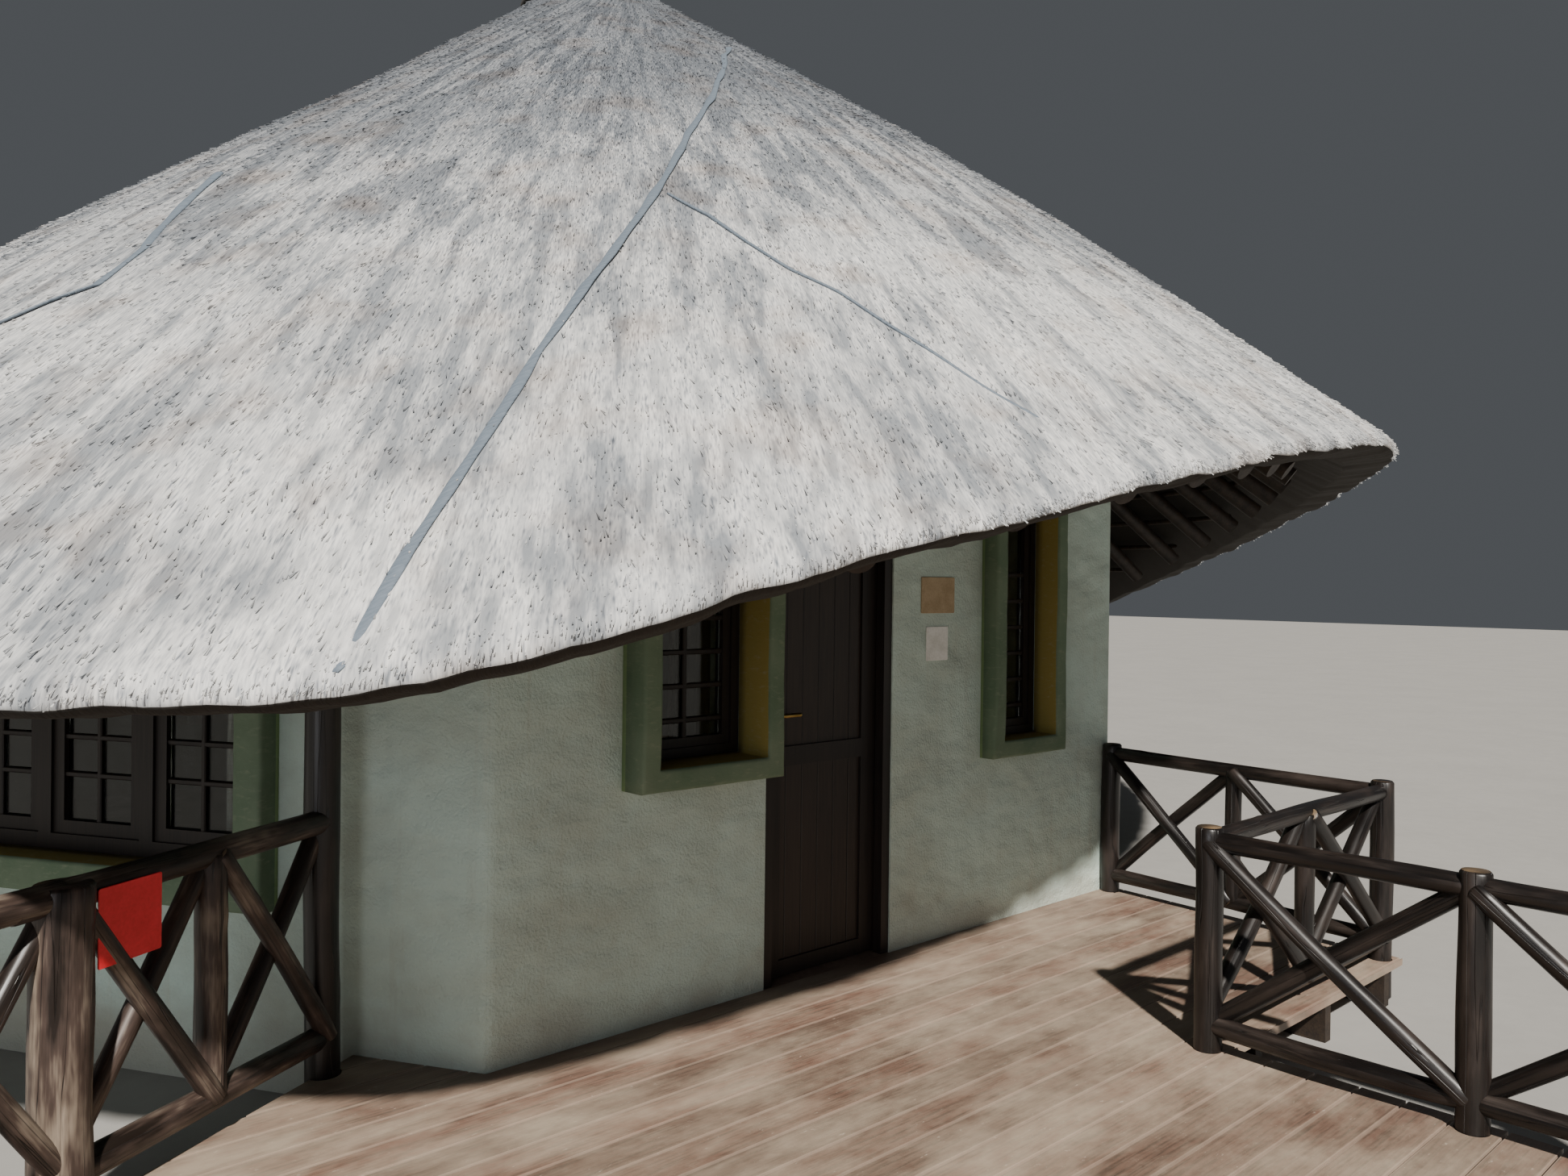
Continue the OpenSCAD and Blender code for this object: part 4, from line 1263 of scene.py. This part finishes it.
@dataclass
class Railings:
    """The roof post, the railing posts and the bays of rails and crossed braces between them.

    Heights are above the deck. The big railing is on the left and along the deck's edge, and the
    small one runs beside the way up and round the bay on the right.

    Attributes:
        post: diameter of the big posts.
        post_high: their height.
        rail: diameter of the big rails.
        low: height of the big low rail's axis.
        top: height of the big top rail's axis.
        small_post: diameter of the small posts.
        small_high: their height.
        small_rail: diameter of the small rails.
        small_low: height of the small low rail's axis.
        small_top: height of the small top rail's axis.
        brace: diameter of the crossed braces.
        upright: greatest diameter of the uprights.
        roof_post: diameter of the post under the eave.
        roof_gap: distance of its top below the straight slope of the roof's back.
        inset: distance of the left railing's line from the left front wall's near end.
        roof_out: distance of the roof post out of that wall; the next posts stand a metre apart.
        walk: place of the first post beside the way up.
        walk_step: distance between the posts there.
        bay_x: place of the small bay's outer side.
        past: how far the left top rail runs on past the first big post's axis.
    """

    post: float = 0.155
    post_high: float = 0.86
    rail: float = 0.084
    low: float = 0.125
    top: float = 0.83
    small_post: float = 0.10
    small_high: float = 0.785
    small_rail: float = 0.073
    small_low: float = 0.09
    small_top: float = 0.735
    brace: float = 0.066
    upright: float = 0.098
    roof_post: float = 0.115
    roof_gap: float = 0.33
    inset: float = 1.37
    roof_out: float = 0.163
    walk: tuple[float, float] = (0.13, -4.73)
    walk_step: float = 0.85
    bay_x: float = 1.69
    past: float = 0.152

    def left_point(self, number: int) -> np.ndarray:
        """A post's place on the left railing's line, square to the left front wall.

        Args:
            number: the post's number, counted from the roof post, which is 0.

        Returns:
            Its place in plan.
        """
        c, s = math.cos(math.radians(30)), 0.5
        d = APOTHEM + (self.roof_out + number)
        return np.array([-s * math.sqrt(3) * d + s * self.inset, -s * d - c * self.inset])

    def bay(self, p: np.ndarray, q: np.ndarray, rail: float, low: float, top: float, crosses: int,
            seed: int, past: float = 0.0) -> Shape:
        """One bay: two rails, and in each part of it a cross of two braces, with uprights between.

        Args:
            p: place of the first post.
            q: place of the second post.
            rail: diameter of the rails.
            low: height of the low rail's axis above the deck.
            top: height of the top rail's axis above the deck.
            crosses: number of parts.
            seed: seed of the poles' unevenness.
            past: how far the top rail runs on past the second post's axis.

        Returns:
            The bay's poles in one shape.
        """
        a, b = np.append(p, FLOOR), np.append(q, FLOOR)
        side = np.array([-(b - a)[1], (b - a)[0], 0]) / np.linalg.norm(b - a) * 0.3 * self.brace
        foot, head = np.array([0, 0, low]), np.array([0, 0, top])
        poles = [Pole(a + foot, b + foot, rail, seed),
                 Pole(a + head, b + head + unit(b - a) * past, rail, seed + 1)]
        for i in range(crosses):
            m, n = a + (b - a) * i / crosses, a + (b - a) * (i + 1) / crosses
            poles += [Pole(m + foot + side, n + head + side, self.brace, seed + 4 * i + 2),
                      Pole(m + head - side, n + foot - side, self.brace, seed + 4 * i + 3)]
            if i:
                poles.append(Pole(m + foot, m + head, min(rail * 1.1, self.upright),
                                  seed + 4 * i + 4))
        return Shape.joined([p.shape() for p in poles])

    def build(self, worn: bpy.types.Material, oily: bpy.types.Material, roof: Thatch) -> None:
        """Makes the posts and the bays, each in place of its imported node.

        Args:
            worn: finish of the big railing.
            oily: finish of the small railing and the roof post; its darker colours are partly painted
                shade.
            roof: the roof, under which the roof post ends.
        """
        under, near, corner = (self.left_point(number) for number in range(3))
        x, y = self.walk
        walk = [np.array([x, y - self.walk_step * i]) for i in range(3)]
        front = walk[2][1]
        edge = [np.array([corner[0], corner[1] + i * (front - corner[1]) / 2]) for i in (1, 2)]
        bay = np.array([self.bay_x, y])
        half = self.small_post / 2
        wall = np.array([WALL_LONG / 2 - half, -APOTHEM - half - 0.0003])
        big = dict(rail=self.rail, low=self.low, top=self.top, crosses=2)
        small = dict(rail=self.small_rail, low=self.small_low, top=self.small_top)
        groups = {
            "left_railing": [self.bay(under, near, seed=100, past=self.past, **big),
                             self.bay(near, corner, seed=120, **big)],
            "edge_railing": [self.bay(corner, edge[0], seed=140, **big),
                             self.bay(edge[0], edge[1], seed=160, **big)],
            "walk_railing": [self.bay(walk[i], walk[i + 1], crosses=1, seed=180 + 20 * i, **small)
                             for i in (0, 1)],
            "bay_front_railing": [self.bay(walk[0], bay, crosses=2, seed=220, **small)],
            "bay_side_railing": [self.bay(bay, wall, crosses=2, seed=240, **small)],
            "left_posts": [Pole((*p, 0), (*p, FLOOR + self.post_high), self.post, 260 + i,
                                sides=32).shape() for i, p in enumerate([near, corner, *edge])],
            "right_posts": [Pole((*p, 0), (*p, FLOOR + self.small_high), self.small_post, 270 + i,
                                 sides=24).shape() for i, p in enumerate([*walk, bay, wall])],
        }
        for node, shapes in groups.items():
            finish = worn if node.startswith(("left", "edge")) else oily
            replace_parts(Shape.joined(shapes).piece(node + "_poles", "gum_pole", finish), node)
        top = roof.peak - math.hypot(*(under - roof.centre)) * math.tan(roof.slope) - self.roof_gap
        made = Pole((*under, 0), (*under, top), self.roof_post, 280, sides=32).shape().piece(
            "roof_post_pole", "gum_pole", oily)
        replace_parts(made, "roof_post")


# Windows

@dataclass
class Window:
    """One window: its painted surround, its glazing bars and its curtains.

    Heights are above the floor.

    Attributes:
        name: start of its pieces' names.
        side: the wall that it is in.
        middle: place of its middle along the wall.
        width: width of the opening.
        sill: height of the opening's foot.
        head: height of its top.
        band: width of the surround.
        out: how far the surround stands out of the wall.
        lights: number of lights side by side.
        frame: width of the frame's timbers.
        sash: width of the sashes' timbers.
        rows: heights of the bars across.
        seed: seed of its unevenness.
        faces: places of the bars, before and behind the pane, out of the wall's face.
        bar: width of a bar.
        bar_deep: depths of an upright bar and of one across.
        ease: radius of the surround's edges.
        back: place of the surround's back, out of the wall's face.
        hang: distance of the curtains behind the wall's inner face.
        past: how far the track runs past the opening.
    """

    name: str
    side: Side
    middle: float
    width: float
    sill: float
    head: float
    band: float
    out: float
    lights: int
    frame: float
    sash: float
    rows: tuple[float, ...]
    seed: int = 0
    faces: tuple[float, float] = (-0.0745, -0.0955)
    bar: float = 0.020
    bar_deep: tuple[float, float] = (0.0140, 0.0132)
    ease: float = 0.014
    back: float = -0.046
    hang: float = 0.045
    past: float = 0.06

    def surround(self) -> Shape:
        """The plaster band: a section carried round the opening.

        Its corners lie on rectangles that grow with the distance d from the opening. The section
        runs from the reveal's back over a rounded nose and face to the band's outer edge. A ripple
        of up to 2.5 mm makes the front uneven.

        Returns:
            The band, closed, with u = -0.02 in the reveal, 0.6 on the side faces, and else d.
        """
        rng = np.random.default_rng(self.seed)
        o, b, ease = self.out - 0.002, self.band - 0.001, self.ease
        arc = np.radians([0, 22, 45, 68, 90])
        section = [(-0.003, self.back), (-0.003, 0.0), (0.0, o - ease)]
        section += [(ease * (1 - math.cos(a)), o - ease + ease * math.sin(a)) for a in arc[1:]]
        section += [(b / 2, o)]
        section += [(b - ease + ease * math.sin(a), o - ease + ease * math.cos(a)) for a in arc]
        section += [(b, 0.001), (b / 2, 0.001), (0.004, 0.001), (0.004, self.back)]
        d, y = np.array(section).T
        per_side = 24
        t = np.arange(4 * per_side)
        sx, sz = np.array([(-1, -1), (1, -1), (1, 1), (-1, 1)]).T
        k, f = t // per_side, (t % per_side) / per_side
        x = (sx[k] * (1 - f) + sx[(k + 1) % 4] * f)[:, None] * (self.width / 2 + d)
        z = (sz[k] * (1 - f) + sz[(k + 1) % 4] * f)[:, None] * ((self.head - self.sill) / 2 + d)
        rough = ripple(rng, x, z, y + 0 * x, pitch=0.22, waves=9) * (y > 0.02) * 0.0025
        points = self.side.place(self.middle + x * (1 - 0.006 * (d > 0.05)),
                                 y - 0.003 * (y > 0.02) + np.minimum(rough, 0.002),
                                 (self.sill + self.head) / 2 + z * (1 - 0.003 * (d > 0.05)))
        faces, ci, cj = lattice(4 * per_side, len(section), round_rows=True)
        u = np.where(d < 0.001, -0.02, np.where(y < o - ease, 0.6, d))
        uv = np.stack([u[cj % len(section)], ci * 0.05], -1)
        return Shape(points.reshape(-1, 3), [faces], [uv])

    def bars(self) -> Shape:
        """Glazing bars before and behind the panes: an upright in each light and the rows across.

        Returns:
            The bars in one shape.
        """
        light = (self.width - (self.lights + 1) * self.frame) / self.lights
        low, high = self.sill + self.frame + self.sash, self.head - self.frame - self.sash
        p, (x, y), z = self.side.place, self.side.ways(), np.array([0, 0, 1.0])
        half, (deep, less) = self.bar / 2, (d / 2 for d in self.bar_deep)
        shapes = []
        for out in self.faces:
            for i in range(self.lights):
                left = (self.middle - self.width / 2 + self.frame + i * (light + self.frame)
                        + self.sash)
                right = left + light - 2 * self.sash
                mid = (left + right) / 2
                shapes.append(bar(p(mid, out, low), p(mid, out, high), x * half, y * deep, 0.004))
                shapes += [bar(p(left, out, row), p(right, out, row), z * half, y * less, 0.004)
                           for row in self.rows]
        return Shape.joined(shapes)

    def curtain(self, x0: float, x1: float, folds: int, high: float, low: float, lean: float,
                seed: int) -> tuple[Shape, tuple[float, float]]:
        """One gathered curtain: a grid whose depth waves along its width, deeper towards the hem.

        Args:
            x0: its left edge along the wall.
            x1: its right edge.
            folds: number of folds.
            high: height of its heading.
            low: height of its hem.
            lean: how far the hem's free edge swings out along the wall.
            seed: seed of the folds' unevenness.

        Returns:
            The cloth and its flat width and length.
        """
        rng = np.random.default_rng(seed)
        u, v = np.meshgrid(np.linspace(0, 1, folds * 10 + 1), np.linspace(0, 1, 30))
        phase = u * folds * 2 * np.pi + 0.5 * ripple(rng, u * 3, v, pitch=1.5)
        deep = (0.010 + 0.012 * v) * np.sin(phase)
        x = x0 + (x1 - x0) * u + lean * v * u + 0.004 * ripple(rng, u * 4, v * 2, pitch=1.0) * v
        points = self.side.place(x, -WALL - self.hang + deep, high + (low - high) * v)
        faces, ci, cj = lattice(30, u.shape[1], round_cols=False)
        across = np.linalg.norm(np.diff(points, axis=1), axis=2).sum(1)
        down = np.linalg.norm(np.diff(points, axis=0), axis=2).sum(0)
        flat = (float(across.mean()), float(down.mean()))
        uv = np.stack([cj / (u.shape[1] - 1) * flat[0], ci / 29 * flat[1]], -1)
        return Shape(points.reshape(-1, 3), [faces], [uv]), flat

    def build(self, paint: bpy.types.Material, timber: bpy.types.Material,
              cloth: bpy.types.Material) -> None:
        """Makes the surround in place of its node, the bars, and the curtains on their track.

        A window of several lights has a bunch at each end of its track, and one of a single light
        has one on the right.

        Args:
            paint: finish of the surround.
            timber: finish of the bars and the track.
            cloth: finish of the curtains.
        """
        made = self.surround().piece(f"{self.name}_surround_band", "surround_plaster", paint)
        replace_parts(made, f"{self.name}_surround")
        self.bars().piece(f"{self.name}_glazing_bars", "joinery", timber, smooth=False)
        left = self.middle - self.width / 2 - self.past
        right = self.middle + self.width / 2 + self.past
        high = self.head + 0.05
        p, (_, y) = self.side.place, self.side.ways()
        track = bar(p(left, -WALL - 0.03, high + 0.012), p(right, -WALL - 0.03, high + 0.012),
                    np.array([0, 0, 0.011]), y * 0.0298, 0.003)
        rail = track.piece(f"{self.name}_curtain_track", "joinery", timber, smooth=False)
        bunches = ([(left, left + 0.34, 5, 0.05), (right - 0.40, right, 5, 0.0)]
                   if self.lights > 1 else [(right - 0.24, right, 4, 0.0)])
        for i, (x0, x1, folds, lean) in enumerate(bunches):
            shape, flat = self.curtain(x0, x1, folds, high, self.sill - 0.10, lean, self.seed + i)
            sheet = shape.piece(f"{self.name}_curtain_{i + 1}", "thatch", cloth)
            thickness = sheet.modifiers.new("thickness", "SOLIDIFY")
            thickness.thickness = 0.0012
            thickness.offset = 0.0


# Small things on the walls and the railing

@dataclass
class Plates:
    """Three bare plates: two on the entrance wall and a red one on the railing's first post.

    Heights are above the floor.

    Attributes:
        upper: the upper plate's ends along the wall, its foot and its top.
        lower: the same of the lower plate.
        square: side of the red plate.
        past: distance of its middle past the post, towards the roof post.
        high: height of its middle.
        stand: its distance from the railing's line.
    """

    upper: tuple[float, float, float, float] = (0.294, 0.528, 1.495, 1.66)
    lower: tuple[float, float, float, float] = (0.332, 0.485, 1.279, 1.434)
    square: float = 0.205
    past: float = 0.165
    high: float = 0.731
    stand: float = 0.046

    def build(self, railings: Railings) -> None:
        """Sets each plate on its face, with a finish of its own.

        Args:
            railings: the railings, for the post's place.
        """
        board = Mottled("varnished_plate", "#b7a07c", "#9d855f", 0.45, 60, 0.3).material()
        white = Mottled("white_enamel_plate", "#f1f1ec", "#dcdcd4", 0.4, 80, 0.2).material()
        red = Mottled("red_enamel_plate", "#ff3442", "#ec2834", 0.35, 90, 0.2).material()
        for name, (x0, x1, z0, z1), thick, finish in (("upper_plate", self.upper, 0.006, board),
                                                      ("lower_plate", self.lower, 0.005, white)):
            shape = slab(x1 - x0, z1 - z0, thick, 0.006, 0.0015)
            shape.points += [(x0 + x1) / 2, -APOTHEM - 0.0003, FLOOR + (z0 + z1) / 2]
            shape.piece(name, "hinge_steel", finish, smooth=False)
        roof, post = railings.left_point(0), railings.left_point(1)
        way = unit(roof - post)
        shape = slab(self.square, self.square, 0.004, 0.006, 0.001)
        turned = np.array([[way[0], way[1], 0], [way[1], -way[0], 0], [0, 0, 1.0]])
        centre = np.array([*(post + way * self.past), FLOOR + self.high])
        face = np.array([-way[1], way[0], 0])
        shape.points = shape.points @ turned + centre - face * self.stand
        shape.piece("railing_plate", "hinge_steel", red, smooth=False)


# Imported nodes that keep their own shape

@dataclass
class PackedNodes:
    """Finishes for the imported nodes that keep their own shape."""

    def build(self, finishes: dict[str, bpy.types.Material]) -> None:
        """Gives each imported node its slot's finish.

        Args:
            finishes: the material of each of the record's slots.
        """
        for part in frame["record"]["subparts"]:
            node = frame["nodes"][part["node"]]
            node.data.materials.clear()
            node.data.materials.append(finishes[part["material_slot"]])


# Camera, lights and floor

class LampKind(Enum):
    """The kinds of lamp in the studio."""

    SUN = "SUN"
    AREA = "AREA"


@dataclass(frozen=True)
class Lamp:
    """One lamp of the studio.

    Attributes:
        name: its name.
        kind: its kind.
        power: its power, in watts for an area and in watts a square metre for the sun.
        wide: its side in metres, or the sun's angle in radians.
        tint: its colour.
        place: where it stands.
        toward: the direction from the hut towards it.
    """

    name: str
    kind: LampKind
    power: float
    wide: float
    tint: str
    place: tuple[float, float, float]
    toward: tuple[float, float, float]

    def build(self) -> None:
        """Adds the lamp, turned to shine from its direction."""
        lamp = bpy.data.lights.new(self.name, self.kind.value)
        lamp.energy, lamp.color = self.power, linear(self.tint)[:3]
        setattr(lamp, "angle" if self.kind is LampKind.SUN else "size", self.wide)
        made = bpy.data.objects.new(self.name, lamp)
        bpy.context.scene.collection.objects.link(made)
        made.location = self.place
        made.rotation_mode = "QUATERNION"
        made.rotation_quaternion = Vector(self.toward).to_track_quat("Z", "Y")


@dataclass
class Studio:
    """The photograph's camera, a plain pale floor and soft studio light.

    Attributes:
        focal_px: the camera's focal length in the photograph's pixels.
        wide_px: the photograph's width.
        eye: the camera's place.
        yaw: its turn to the right of straight ahead along +Y, in degrees.
        pitch: its tilt upwards, in degrees.
        roll: its roll, in degrees.
        floor_half: half the floor's side.
        sky: colour of the even light from all round.
        fill: strength of that light.
        key: the sun-like key light.
        softbox: the large soft light on the left.
    """

    focal_px: float = 1498.9
    wide_px: int = 1944
    eye: tuple[float, float, float] = (-3.893, -6.796, 1.80)
    yaw: float = 43.26
    pitch: float = -0.29
    roll: float = -0.68
    floor_half: float = 60
    sky: str = "#dfe6ee"
    fill: float = 0.11
    key: Lamp = Lamp("key_light", LampKind.SUN, 7.0, 0.03, "#fffaf2", (0, 0, 9),
                     (-0.41, -0.61, 0.68))
    softbox: Lamp = Lamp("left_softbox", LampKind.AREA, 190.0, 3.6, "#f6f8ff",
                         (-10.6, -8.4, 2.5), (-0.84, -0.53, 0.10))

    def camera(self) -> None:
        """Sets the photograph's camera, with its axes worked out from yaw, pitch and roll."""
        y, p, r = (math.radians(a) for a in (self.yaw, self.pitch, self.roll))
        ahead = np.array([math.sin(y) * math.cos(p), math.cos(y) * math.cos(p), math.sin(p)])
        right = np.array([math.cos(y), -math.sin(y), 0.0])
        up = np.cross(right, ahead)
        right, up = (right * math.cos(r) - up * math.sin(r), right * math.sin(r) + up * math.cos(r))
        data = bpy.data.cameras.new("camera")
        data.sensor_width = 36.0
        data.lens = data.sensor_width * self.focal_px / self.wide_px
        data.clip_end = 200
        made = bpy.data.objects.new("camera", data)
        bpy.context.scene.collection.objects.link(made)
        turn = Matrix([list(v) for v in zip(right, up, -ahead)]).to_4x4()
        made.matrix_world = Matrix.Translation(self.eye) @ turn
        bpy.context.scene.camera = made

    def build(self) -> None:
        """Adds the camera, the floor and the lights."""
        self.camera()
        corners = np.array([[-1, -1, 0], [1, -1, 0], [1, 1, 0], [-1, 1, 0]]) * self.floor_half
        pale = Mottled("studio_floor", "#a19f9b", "#9b9995", 0.9, 900, 0.1).material()
        Shape(corners, [np.arange(4)[None]]).object("studio_floor", pale, False)
        world = bpy.data.worlds.new("studio")
        bpy.context.scene.world = world
        world.use_nodes = True
        sky = world.node_tree.nodes["Background"]
        sky.inputs["Color"].default_value = linear(self.sky)
        sky.inputs["Strength"].default_value = self.fill
        self.key.build()
        self.softbox.build()


def finishes(straw: bpy.types.Material, mortar: bpy.types.Material, timber: bpy.types.Material,
             paint: bpy.types.Material) -> dict[str, bpy.types.Material]:
    """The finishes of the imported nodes.

    Args:
        straw: the thatch's, which the straw coat shares.
        mortar: the cap's.
        timber: the joinery's.
        paint: the surrounds'.

    Returns:
        The material of each of the record's slots.
    """
    return {
        "plaster": LimePlaster().material(), "surround_plaster": paint, "thatch": straw,
        # Rafters under the roof: dark creosote, darkened further as painted shade.
        "gum_pole": Mottled("creosoted_rafter_with_painted_shade", "#35291f", "#15100d", 0.6, 60, 1.5).material(),
        "batten": Mottled("creosoted_batten", "#45362a", "#1f1813", 0.7, 40, 1.0).material(),
        "floor": Mottled("polished_screed", "#8b7565", "#6f5c4f", 0.4, 200, 0.5).material(),
        "cap": mortar,
        "joinery": timber,
        "door_board": StainedTimber("boarded_panel", "#30261f", "#1c1612",
                                    board_mm=93.0).material(),
        "glass": WindowGlass().material(),
        "brass": Mottled("worn_brass", "#c0a261", "#8f7539", 0.32, 20, 0.1, 1.0).material(),
        "hinge_steel": Mottled("dull_steel", "#8a8781", "#6a6761", 0.45, 20, 0.1, 1.0).material(),
        "deck_board": DeckBoard().material(),
    }


def windows() -> list[Window]:
    """The windows: three wide ones of four lights, and two narrow ones beside the door.

    Returns:
        The wide ones, and then the narrow ones.
    """
    made = []
    for name, side in (("left", Side.LEFT_FRONT), ("right", Side.RIGHT_FRONT), ("rear", Side.REAR)):
        made.append(Window(name, side, middle=-0.045, width=1.96, sill=0.59, head=1.82, band=0.125,
                           out=0.10, lights=4, frame=0.06, sash=0.05,
                           rows=tuple(0.731 + 0.1425 * k for k in range(1, 7)), seed=30))
    for name, middle, width, sill, out in (("front_left", -1.003, 0.515, 0.955, 0.14),
                                           ("front_right", 1.033, 0.42, 0.885, 0.10)):
        count = int((1.88 - sill - 0.14) / 0.13)
        made.append(Window(name, Side.FRONT, middle, width, sill, head=2.0, band=0.085, out=out,
                           lights=1, frame=0.04, sash=0.036,
                           rows=tuple(sill + 0.142 + 0.130 * k for k in range(count)), seed=40))
    return made


def main() -> None:
    logging.basicConfig(level=logging.INFO, format="%(message)s")
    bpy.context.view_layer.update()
    straw, timber, paint = (
        finish.material() for finish in (WeatheredStraw(), StainedTimber(), PaintedSurround()))
    mortar = Mottled("weathered_mortar", "#4a4846", "#2b2a29", 0.92, 90, 5.0).material()
    PackedNodes().build(finishes(straw, mortar, timber, paint))
    roof, railings = Thatch(), Railings()
    roof.build(straw, NetSeam().material(), mortar)
    # A darker copy of the creosoted pole: darker creosote, and partly painted shade.
    oily = CreosotedPole("oily_gum_pole_with_painted_shade", "#120f0e", "#1e1815", "#3b322d", gloss=0.34)
    railings.build(CreosotedPole().material(), oily.material(), roof)
    pale = CurtainCloth("pale_cotton_curtain", "#d6d3c8", "#bfbbae").material()
    dark = CurtainCloth("dark_cotton_curtain", "#3c3833", "#2a2723").material()
    for window in windows():
        window.build(paint, timber, pale if window.lights > 1 else dark)
    Plates().build(railings)
    Studio().build()


if __name__ == "__main__":
    main()
